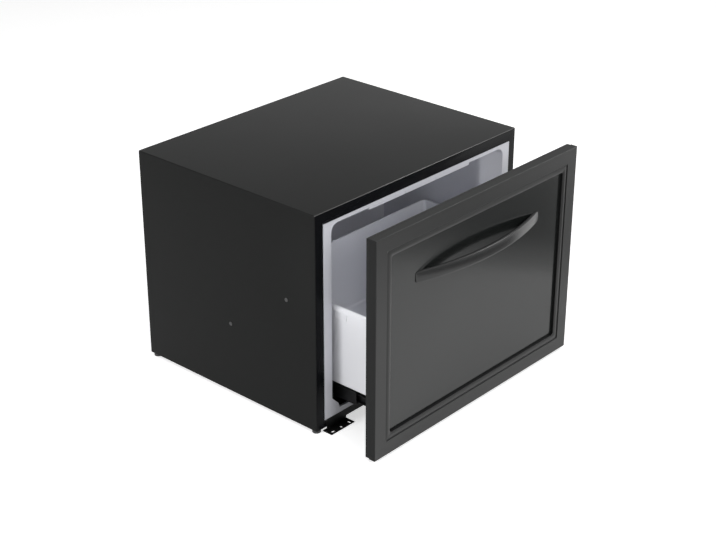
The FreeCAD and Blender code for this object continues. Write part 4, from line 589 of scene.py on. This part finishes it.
def corner_of(inset):
    """Square corners on the broad band, rounded ones from the groove inwards."""
    return 0 if inset < band else inner_round


mesh = bmesh.new()
ring_from_profile(mesh, profile, frame_low, frame_high, corner_of)
smooth_by_angle(mesh, 28)
for face in mesh.faces:
    in_wall = face.calc_center_median().y > crown + crown_rise + wall_start
    face.material_index = 1 if in_wall or abs(face.normal.x) > side_facing else 0
door_rim = new_piece("front_frame", mesh, frame_paint, "drawer", "black_lacquer", "door_frame")
door_rim.data.materials.append(sides_and_wall_shade_paint.material)
even_normals(door_rim)

# Door panel: a flat steel sheet in semi-gloss black lacquer, whose coat lies a little
# unevenly. It is held behind the frame's deep wall and glued to the foam.
lacquer = Finish("black_lacquer", (0.011, 0.0122, 0.0117), 0.24, Specular_IOR_Level=0.355)
cloud = lacquer.noise(0.16, detail=1)
lacquer.feed("Roughness", (cloud * 0.06 + 0.14).held())
lacquer.tint(cloud, (0.009, 0.0102, 0.0098))
node_finish(lacquer, "door_panel")

# Bow handle: a satin black moulding that arches off the panel between two solid feet. Its
# front leans back towards its top, its ends are blunt, and it is screwed on from behind.
handle_low, handle_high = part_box("handle")
bow_half = handle_high[0]
bow_reach = panel_face - handle_low[1]
bow_thick = 0.008
bow_foot = 0.020
bow_round = 0.0016
bow_crown = 0.0014
bow_flat = 0.6
bow_back_round = 0.0014
bow_blunt = 0.0014
bow_least = 0.0002
bow_corner = 0.00001
crown_share = 0.4
round_share = 0.45
back_share = 0.3
front_steps = 8
tip_round = 0.005
bow_middle = (handle_low[2] + handle_high[2]) / 2
bow_tall = (handle_high[2] - handle_low[2]) / 2
stations = 64


def rise(x, half, reach):
    """How far a shallow arc between two ends stands off the panel."""
    radius = (half * half + reach * reach) / (2 * reach)
    return math.sqrt(max(radius * radius - x * x, 0)) - radius + reach


def bow_section(mesh, x):
    """One closed section of the bow, whose front leans back towards its top."""
    near_tip = max(abs(x) - (bow_half - bow_blunt), 0)
    blunt = math.sqrt(max(bow_blunt**2 - near_tip**2, 0)) + bow_least
    front = panel_face - rise(x, bow_half, bow_reach - bow_blunt - bow_least) - blunt
    hollow_half = bow_half - bow_foot
    inner = rise(x, hollow_half, bow_reach - bow_thick) if abs(x) < hollow_half else 0
    rear = panel_face - max(inner, 0)
    past = max(abs(x) - (bow_half - tip_round), 0)
    tall = bow_tall - (tip_round - math.sqrt(max(tip_round**2 - past**2, 0)))
    thick = rear - front
    bulge = min(bow_crown, thick * crown_share)
    lean = min(bow_round, thick * round_share, tall * crown_share)
    back_soft = min(bow_back_round, thick * back_share) if inner > 0 else bow_corner
    halves = []
    for sign in (1, -1):
        half = []
        for step in range(front_steps + 1):
            level = (tall - lean) * step / front_steps
            share = max(sign * level + bow_flat * tall, 0) / (1 + bow_flat) / tall
            half.append((front + bulge * share**2, level))
        half += arc((half[-1][0] + lean, tall - lean), lean, 180, 90, 6)[1:]
        half += arc((rear - back_soft, tall - back_soft), back_soft, 90, 0, 3)
        halves.append([(depth, sign * level) for depth, level in half])
    points = halves[0] + halves[1][:0:-1]
    row = [mesh.verts.new((x, depth, bow_middle + level)) for depth, level in points]
    return [mesh.edges.new((row[i - 1], row[i])) for i in range(len(row))]


mesh = bmesh.new()
tip_shares = (0.9, 0.7, 0.5, 0.3, 0.15)
foot_shares = (0.999, 1.001)
places = [bow_half * math.sin(math.pi / 2 * (2 * i / stations - 1)) for i in range(stations + 1)]
for side in (-1, 1):
    places += [side * (bow_half - bow_blunt * share) for share in tip_shares]
    places += [side * (bow_half - bow_foot) * share for share in foot_shares]
rows = [bow_section(mesh, x) for x in sorted(places)]
for first, second in zip(rows, rows[1:]):
    bmesh.ops.bridge_loops(mesh, edges=first + second)
for row in (rows[0], rows[-1]):
    bmesh.ops.edgeloop_fill(mesh, edges=row)
bmesh.ops.recalc_face_normals(mesh, faces=mesh.faces)
smooth_by_angle(mesh, 40)
handle_paint = Finish("handle_black", (0.007, 0.0073, 0.0073), 0.22, Specular_IOR_Level=0.46)
satin = handle_paint.noise(0.0008, detail=2)
handle_paint.bump(satin, 0.06, 0.00004)
handle_paint.feed("Roughness", (satin * 0.06 + 0.18).held())
new_piece("bow_handle", mesh, handle_paint, "drawer", "handle_black", "handle")

# Inner door: a white vacuum-formed sheet with one deep raised panel, which closes the
# door's foam at the back. Its edge carries the gasket.
white_paint = Finish("white_plastic", (0.80, 0.805, 0.835), 0.33)
flow = white_paint.noise(0.05, detail=2)
white_paint.feed("Roughness", (flow * 0.12 + 0.28).held())
white_paint.bump(white_paint.noise(0.0012, detail=2), 0.08, 0.00008)
white_paint.tint(flow, (0.785, 0.79, 0.82))
eased_part("door_back", white_paint, "drawer", "white_plastic", 0.0008, 2)

# Gasket: soft black extrusion, a hollow magnetic bead on a thin bellows, welded at its
# mitred corners and pushed on all round the inner door's flange.
rubber = Finish("gasket_rubber", (0.03, 0.03, 0.03), 0.62)
bloom = rubber.noise(0.006, detail=4)
rubber.feed("Roughness", (bloom * 0.2 + 0.52).held())
rubber.tint(bloom, (0.045, 0.045, 0.046))
gasket_low, gasket_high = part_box("door_gasket")
seat_face = gasket_low[1]
bead_face = gasket_high[1]
bead_wide = 0.012
bead_round = 0.0018
fold = ((0.0015, 0), (0.0015, 0.0012), (0.0032, 0.0022), (0.0012, 0.0032), (0.0003, 0.0042))
bellows = [(inset, seat_face + height) for inset, height in fold]
bellows += arc((bead_round, bead_face - bead_round), bead_round, 180, 90, 4)
bellows += arc((bead_wide - bead_round, bead_face - bead_round), bead_round, 90, 0, 4)
bellows += [(bead_wide - inset, seat_face + height) for inset, height in reversed(fold)]
mesh = bmesh.new()
ring_from_profile(mesh, bellows, gasket_low, gasket_high, lambda inset: 0, 1)
smooth_by_angle(mesh, 50)
new_piece("gasket_bellows", mesh, rubber, "drawer", "gasket_rubber", "door_gasket")
node_finish(rubber, "compressor_grommets")

# Bin: a deep white moulding with rounded corners, a rolled rim, drafted walls and a lug under
# the rim on each side. It stands on the carriage's deck.
bin_low, bin_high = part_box("bin")
rim_reach = 0.004
rim_height = 0.010
bin_wall = 0.0025
bin_corner = 0.012
bin_draft = 0.0012
foot_round = 0.006
corner_least = 0.001


def flat_loop(mesh, low, high, radius, level, segments=40):
    """A level rounded rectangle, made of a circle whose quarters move to the corners."""
    made = bmesh.ops.create_circle(mesh, segments=segments, radius=radius)["verts"]
    half_step = Matrix.Rotation(math.pi / segments, 3, "Z")
    bmesh.ops.rotate(mesh, verts=made, cent=(0, 0, 0), matrix=half_step)
    for vert in made:
        vert.co.x += high[0] - radius if vert.co.x > 0 else low[0] + radius
        vert.co.y += high[1] - radius if vert.co.y > 0 else low[1] + radius
        vert.co.z = level
    return once(edge for vert in made for edge in vert.link_edges)


def stack(mesh, low, high, radius, steps):
    """Skins rounded rectangles one above another, each drawn in by an inset at a level."""
    loops = []
    for inset, level in steps:
        near = (low[0] + inset, low[1] + inset)
        far = (high[0] - inset, high[1] - inset)
        loops.append(flat_loop(mesh, near, far, max(radius - inset, corner_least), level))
    for first, second in zip(loops, loops[1:]):
        bmesh.ops.bridge_loops(mesh, edges=first + second)
    return loops


def foot_curve(inset, level, angles):
    """Insets and levels on the rounded foot of a wall."""
    turns = [math.radians(angle) for angle in angles]
    return [
        (inset + foot_round * (1 - math.sin(turn)), level + foot_round * (1 - math.cos(turn)))
        for turn in turns
    ]


floor_level = bin_low[2]
top_level = bin_high[2]
foot_inset = rim_reach + bin_draft
inner_rim = rim_reach + bin_wall
below_rim = ((rim_reach, 0.0005), (rim_reach - 0.0005, 0))
below_rim += ((0.0006, 0), (0.0001, -0.0004), (0, -0.001))
over_rim = ((0.0006, 0.0052), (0.0014, 0.0026), (0.0024, 0.0009), (0.0038, 0))
inside_rim = ((inner_rim - 0.0016, 0), (inner_rim - 0.0003, 0.0008), (inner_rim, 0.003))
steps = [(foot_inset + foot_round, floor_level)]
steps += foot_curve(foot_inset, floor_level, (22, 45, 68, 90))
steps += [(inset, top_level - rim_height - drop) for inset, drop in below_rim]
steps += [(inset, top_level - drop) for inset, drop in over_rim + inside_rim]
steps += foot_curve(foot_inset + bin_wall, floor_level + bin_wall, (90, 68, 45, 22))
steps += [(foot_inset + bin_wall + foot_round, floor_level + bin_wall)]
mesh = bmesh.new()
loops = stack(mesh, bin_low, bin_high, bin_corner + rim_reach, steps)
for edges in (loops[0], loops[-1]):
    bmesh.ops.edgeloop_fill(mesh, edges=edges)
bmesh.ops.recalc_face_normals(mesh, faces=mesh.faces)
lug_long = 0.026
lug_tall = 0.014
lug_start = -0.014
lug_reach = 0.0022
lug_sunk = 0.0012
lug_lap = 0.0002
lug_round = 0.0008
lug_top = top_level - rim_height + lug_lap


def lug_edge(a, b):
    """The upright edges of a lug and those round its foot."""
    return not level_at(2, lug_top, a, b)


for side in (-1, 1):
    wall_face = side * (bin_high[0] - rim_reach)
    lug_low = (wall_face - lug_sunk, lug_start, lug_top - lug_lap - lug_tall)
    lug_high = (wall_face + lug_reach, lug_start + lug_long, lug_top)
    lug = add_block(mesh, lug_low, lug_high)
    ease(mesh, edges_of(lug, lug_edge), lug_round, 2)
smooth_by_angle(mesh, 40)
new_piece("drawer_bin", mesh, white_paint, "drawer", "white_plastic", "bin")

# Carriage, slides and runner brackets: pressed steel in satin black. The deck carries the
# bin, its skirts are screwed to the inner slide members, and the brackets to the liner.
carriage_paint = Finish("carriage_black", (0.006, 0.006, 0.0065), 0.4, Specular_IOR_Level=0.2)
drawn = carriage_paint.noise(0.004, detail=3, stretch=(1, 0.05, 1))
carriage_paint.feed("Roughness", (drawn * 0.2 + 0.3).held())
carriage_paint.bump(drawn, 0.08, 0.0001)
eased_part("carriage", carriage_paint, "drawer", "carriage_black")
for side in ("left", "right"):
    eased_part(f"runner_bracket_{side}", carriage_paint, "cabinet", "carriage_black")
    eased_part(f"outer_rail_{side}", carriage_paint, "cabinet", "carriage_black")
    eased_part(f"middle_rail_{side}", carriage_paint, f"middle_rail_{side}", "carriage_black")
    eased_part(f"inner_rail_{side}", carriage_paint, "drawer", "carriage_black")

# Screws: zinc-plated pan heads with a cross recess, one for each fixing that the model
# has. The compressor's bolts, the ball cages and the thin rear wall are the same steel.
zinc = Finish("zinc_steel", (0.55, 0.56, 0.57), 0.32, Metallic=1.0)
spangle = zinc.node("TexVoronoi", Vector=zinc.place(), Scale=90.0)
zinc.feed("Roughness", (spangle * 0.15 + 0.25).held())
zinc.tint(spangle, (0.47, 0.48, 0.5))
cells_across = 11
arm_reach = 0.46
recess_share = 0.5
recess_taper = 0.8
dome_share = 0.4
head_share = 0.62
head_limit = 0.5
tip_share = 0.7
stem_least = 0.0005
end_share = 0.1
turn_step = 37


def loose_parts(mesh):
    """The separate bodies of a mesh, each as a list of its vertices."""
    left = set(mesh.verts)
    parts = []
    while left:
        part, waiting = set(), [left.pop()]
        while waiting:
            vert = waiting.pop()
            part.add(vert)
            near = [edge.other_vert(vert) for edge in vert.link_edges]
            waiting += [other for other in near if other in left]
            left.difference_update(near)
        parts.append(list(part))
    return parts


def screw_of(part):
    """Axis, head radius, shank radius, head end, shank end and middle of one fixing."""
    low = [min(vert.co[i] for vert in part) for i in range(3)]
    high = [max(vert.co[i] for vert in part) for i in range(3)]
    size = [high[i] - low[i] for i in range(3)]
    axis = max(range(3), key=lambda i: abs(size[i] - size[i - 1]) + abs(size[i] - size[i - 2]))
    middle = Vector([(low[i] + high[i]) / 2 for i in range(3)])

    def reach(end):
        near = [vert for vert in part if abs(vert.co[axis] - end) < size[axis] * end_share]
        gaps = [vert.co - middle for vert in near]
        return max(math.hypot(gap[axis - 1], gap[axis - 2]) for gap in gaps)

    ends = sorted((low[axis], high[axis]), key=reach)
    return axis, reach(ends[1]), reach(ends[0]), ends[1], ends[0], middle


def pan_head_screw(mesh, axis, head, shank, top, tip, middle, turn):
    """A domed head with a cross recess on a plain shank, in place of one fixing."""
    before = set(mesh.verts)
    height = min(head * head_share, abs(top - tip) * head_limit)
    cells = {"x_segments": cells_across, "y_segments": cells_across}
    grid = bmesh.ops.create_grid(mesh, size=head, **cells)["verts"]
    faces = once(face for vert in grid for face in vert.link_faces)
    outside = [face for face in faces if face.calc_center_median().length > head]
    bmesh.ops.delete(mesh, geom=outside, context="FACES")
    kept = [vert for vert in grid if vert.is_valid]
    for vert in kept:
        if vert.is_boundary:
            vert.co = vert.co.normalized() * head
        vert.co.z = height * (1 - dome_share * (vert.co.length / head) ** 2)
    cross = []
    for face in once(face for vert in kept for face in vert.link_faces):
        short, long = sorted((abs(face.calc_center_median().x), abs(face.calc_center_median().y)))
        if short < head / cells_across and long < head * arm_reach:
            cross.append(face)
    pit = bmesh.ops.extrude_face_region(mesh, geom=cross)["geom"]
    bmesh.ops.delete(mesh, geom=cross, context="FACES_ONLY")
    floor_of_pit = [item for item in pit if isinstance(item, bmesh.types.BMVert)]
    bmesh.ops.scale(mesh, verts=floor_of_pit, vec=(recess_taper, recess_taper, 1))
    bmesh.ops.translate(mesh, verts=floor_of_pit, vec=(0, 0, -height * recess_share))
    made = [vert for vert in mesh.verts if vert not in before]
    rim_edges = once(edge for vert in made for edge in vert.link_edges if edge.is_boundary)
    skirt = bmesh.ops.extrude_edge_only(mesh, edges=rim_edges)["geom"]
    for item in skirt:
        if isinstance(item, bmesh.types.BMVert):
            item.co.z = 0
    foot = [item for item in skirt if isinstance(item, bmesh.types.BMEdge) and item.is_boundary]
    bmesh.ops.edgeloop_fill(mesh, edges=foot)
    length = abs(top - tip) - height
    if length > stem_least:
        tip_radius = shank * tip_share
        stem = bmesh.ops.create_cone(
            mesh, cap_ends=True, segments=12, radius1=tip_radius, radius2=shank, depth=length
        )["verts"]
        bmesh.ops.translate(mesh, verts=stem, vec=(0, 0, -length / 2))
    made = [vert for vert in mesh.verts if vert not in before]
    direction = Vector((0, 0, 0))
    direction[axis] = 1 if top > tip else -1
    spun = Matrix.Rotation(turn, 3, "Z")
    stood = Vector((0, 0, 1)).rotation_difference(direction).to_matrix()
    bmesh.ops.rotate(mesh, verts=made, cent=(0, 0, 0), matrix=stood @ spun)
    seat = middle.copy()
    seat[axis] = top - direction[axis] * height
    bmesh.ops.translate(mesh, verts=made, vec=seat)


def least_corner(part):
    """Where a fixing stands, to take like fixings always in one order."""
    return tuple(round(c, 4) for c in min(vert.co.to_tuple() for vert in part))


def face_place(face):
    """Where a face lies, to keep the faces of a group of screws in one order."""
    return face.calc_center_median().to_tuple()


fixings = {
    "bracket_screws": "cabinet",
    "liner_screws": "cabinet",
    "rear_screws": "cabinet",
    "carriage_screws": "drawer",
    "handle_screws": "drawer",
}
for name, body in fixings.items():
    source = merged_copy(name)
    mesh = bmesh.new()
    for index, part in enumerate(sorted(loose_parts(source), key=least_corner)):
        pan_head_screw(mesh, *screw_of(part), turn=math.radians(turn_step * index))
    source.free()
    bmesh.ops.recalc_face_normals(mesh, faces=mesh.faces)
    for rank, face in enumerate(sorted(mesh.faces, key=face_place)):
        face.index = rank
    mesh.faces.sort()
    smooth_by_angle(mesh, 32)
    new_piece("cross_" + name, mesh, zinc, body, "zinc_steel", name)
node_finish(zinc, "compressor_bolts", "rear_wall")
for side in ("left", "right"):
    node_finish(zinc, f"ball_cage_inner_{side}", f"ball_cage_outer_{side}")

# Evaporator: a plate of roll-bonded aluminium sheet at the back of the cold space, with its
# tube pressed against it. Plain mill finish, rolled along the plate.
mill = Finish("aluminium", (0.72, 0.73, 0.74), 0.36, Metallic=1.0)
rolled = mill.noise(0.002, detail=3, stretch=(0.04, 1, 1))
mill.feed("Roughness", (rolled * 0.2 + 0.28).held())
mill.bump(rolled, 0.1, 0.0001)
node_finish(mill, "evaporator_plate", "evaporator_tube")

# Drain, drip channel and thermostat: matt grey mouldings. The channel is clipped under the
# plate, the drain runs out of it through the foam, and the thermostat hangs in its housing.
grey = Finish("grey_plastic", (0.42, 0.43, 0.45), 0.5)
grey_skin = grey.noise(0.0008, detail=2)
grey.bump(grey_skin, 0.25, 0.00008)
grey.feed("Roughness", (grey_skin * 0.15 + 0.42).held())
node_finish(grey, "drain_tube", "drip_channel", "thermostat_body")

# Thermostat dial: a grey moulded knob with a ridged edge for the fingers, a raised bar that
# points at the setting, and a blind bore that is pushed on the thermostat's spindle.
dial_low, dial_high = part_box("thermostat_dial")
dial_radius = (dial_high[0] - dial_low[0]) / 2
dial_middle = ((dial_low[0] + dial_high[0]) / 2, (dial_low[1] + dial_high[1]) / 2)
ridges = 36
ridge_share = 0.035
bar_tall = 0.0016
bar_half = 0.0016
bar_reach = 0.8
bar_sunk = 0.0004
bar_round = 0.0004
bore_radius = 0.00306
bore_floor = 0.0031
bore_low = dial_low[2] + bore_floor
face_level = dial_low[2] + bar_tall


def round_loop(mesh, radius, level, ridged):
    """A level circle about the dial's middle, whose edge waves in and out when ridged."""
    made = bmesh.ops.create_circle(mesh, segments=ridges * 4, radius=radius)["verts"]
    for vert in made:
        wave = 0.5 - 0.5 * math.cos(math.atan2(vert.co.y, vert.co.x) * ridges)
        share = 1 - (ridge_share * wave if ridged else 0)
        vert.co = (dial_middle[0] + vert.co.x * share, dial_middle[1] + vert.co.y * share, level)
    return once(edge for vert in made for edge in vert.link_edges)


rim_steps = (
    (dial_radius - 0.0016, face_level, False),
    (dial_radius - 0.0009, face_level + 0.0002, False),
    (dial_radius, face_level + 0.0012, True),
    (dial_radius, dial_high[2] - 0.0005, True),
    (dial_radius - 0.0006, dial_high[2], False),
    (bore_radius, dial_high[2], False),
    (bore_radius, bore_low, False),
)
mesh = bmesh.new()
rings = [round_loop(mesh, *step) for step in rim_steps]
for first, second in zip(rings, rings[1:]):
    bmesh.ops.bridge_loops(mesh, edges=first + second)
for edges in (rings[0], rings[-1]):
    bmesh.ops.edgeloop_fill(mesh, edges=edges)
bmesh.ops.recalc_face_normals(mesh, faces=mesh.faces)
bar_long = dial_radius * bar_reach
bar = add_block(
    mesh,
    (dial_middle[0] - bar_half, dial_middle[1] - bar_long, dial_low[2]),
    (dial_middle[0] + bar_half, dial_middle[1] + bar_long, face_level + bar_sunk),
)
ease(mesh, edges_of(bar, lambda a, b: min(a.z, b.z) < face_level), bar_round, 3)
smooth_by_angle(mesh, 40)
new_piece("ridged_dial", mesh, grey, "thermostat_dial", "grey_plastic", "thermostat_dial")

# Lamp board and its lens: a small white board with its lamps, and a frosted cover that is
# clipped in below it and glows cool white while the drawer stands open.
board = Finish("board_white", (0.75, 0.77, 0.75), 0.4)
board.feed("Roughness", (board.noise(0.004) * 0.2 + 0.3).held())
lamp_glow = 1.5
clearness = 0.6
frosted = Finish("frosted", (0.9, 0.92, 0.95), 0.45, Transmission_Weight=clearness)
frosted.shader.inputs["Emission Strength"].default_value = lamp_glow
frosted.shader.inputs["Emission Color"].default_value = (0.86, 0.88, 1, 1)
frosted.feed("Roughness", (frosted.noise(0.0006) * 0.2 + 0.38).held())
node_finish(board, "led_board")
node_finish(frosted, "light_lens")

# Pump, condenser and pipes: a welded steel can and a serpentine of steel tube and wires,
# both enamelled black, and bare copper pipes between them that have begun to tarnish. The
# small parts beside them are black mouldings, clipped or screwed on.
enamel = Finish("pump_black", (0.022, 0.022, 0.024), 0.25)
enamel.feed("Roughness", (enamel.noise(0.02) * 0.2 + 0.18).held())
enamel.bump(enamel.noise(0.004, detail=1), 0.15, 0.0002)
copper = Finish("copper", (0.72, 0.4, 0.27), 0.35, Metallic=1.0)
tarnish = copper.noise(0.012, detail=4)
copper.feed("Roughness", (tarnish * 0.25 + 0.25).held())
copper.tint(tarnish, (0.45, 0.24, 0.17))
node_finish(enamel, "compressor_shell", "condenser_tube", "condenser_wires")
node_finish(copper, "capillary_tube", "discharge_pipe", "filter_drier", "suction_pipe")
node_finish(moulded_black, "reed_switch", "switch_magnet", "condensate_tray")
node_finish(moulded_black, "condenser_clips", "power_inlet", "relay_cover")
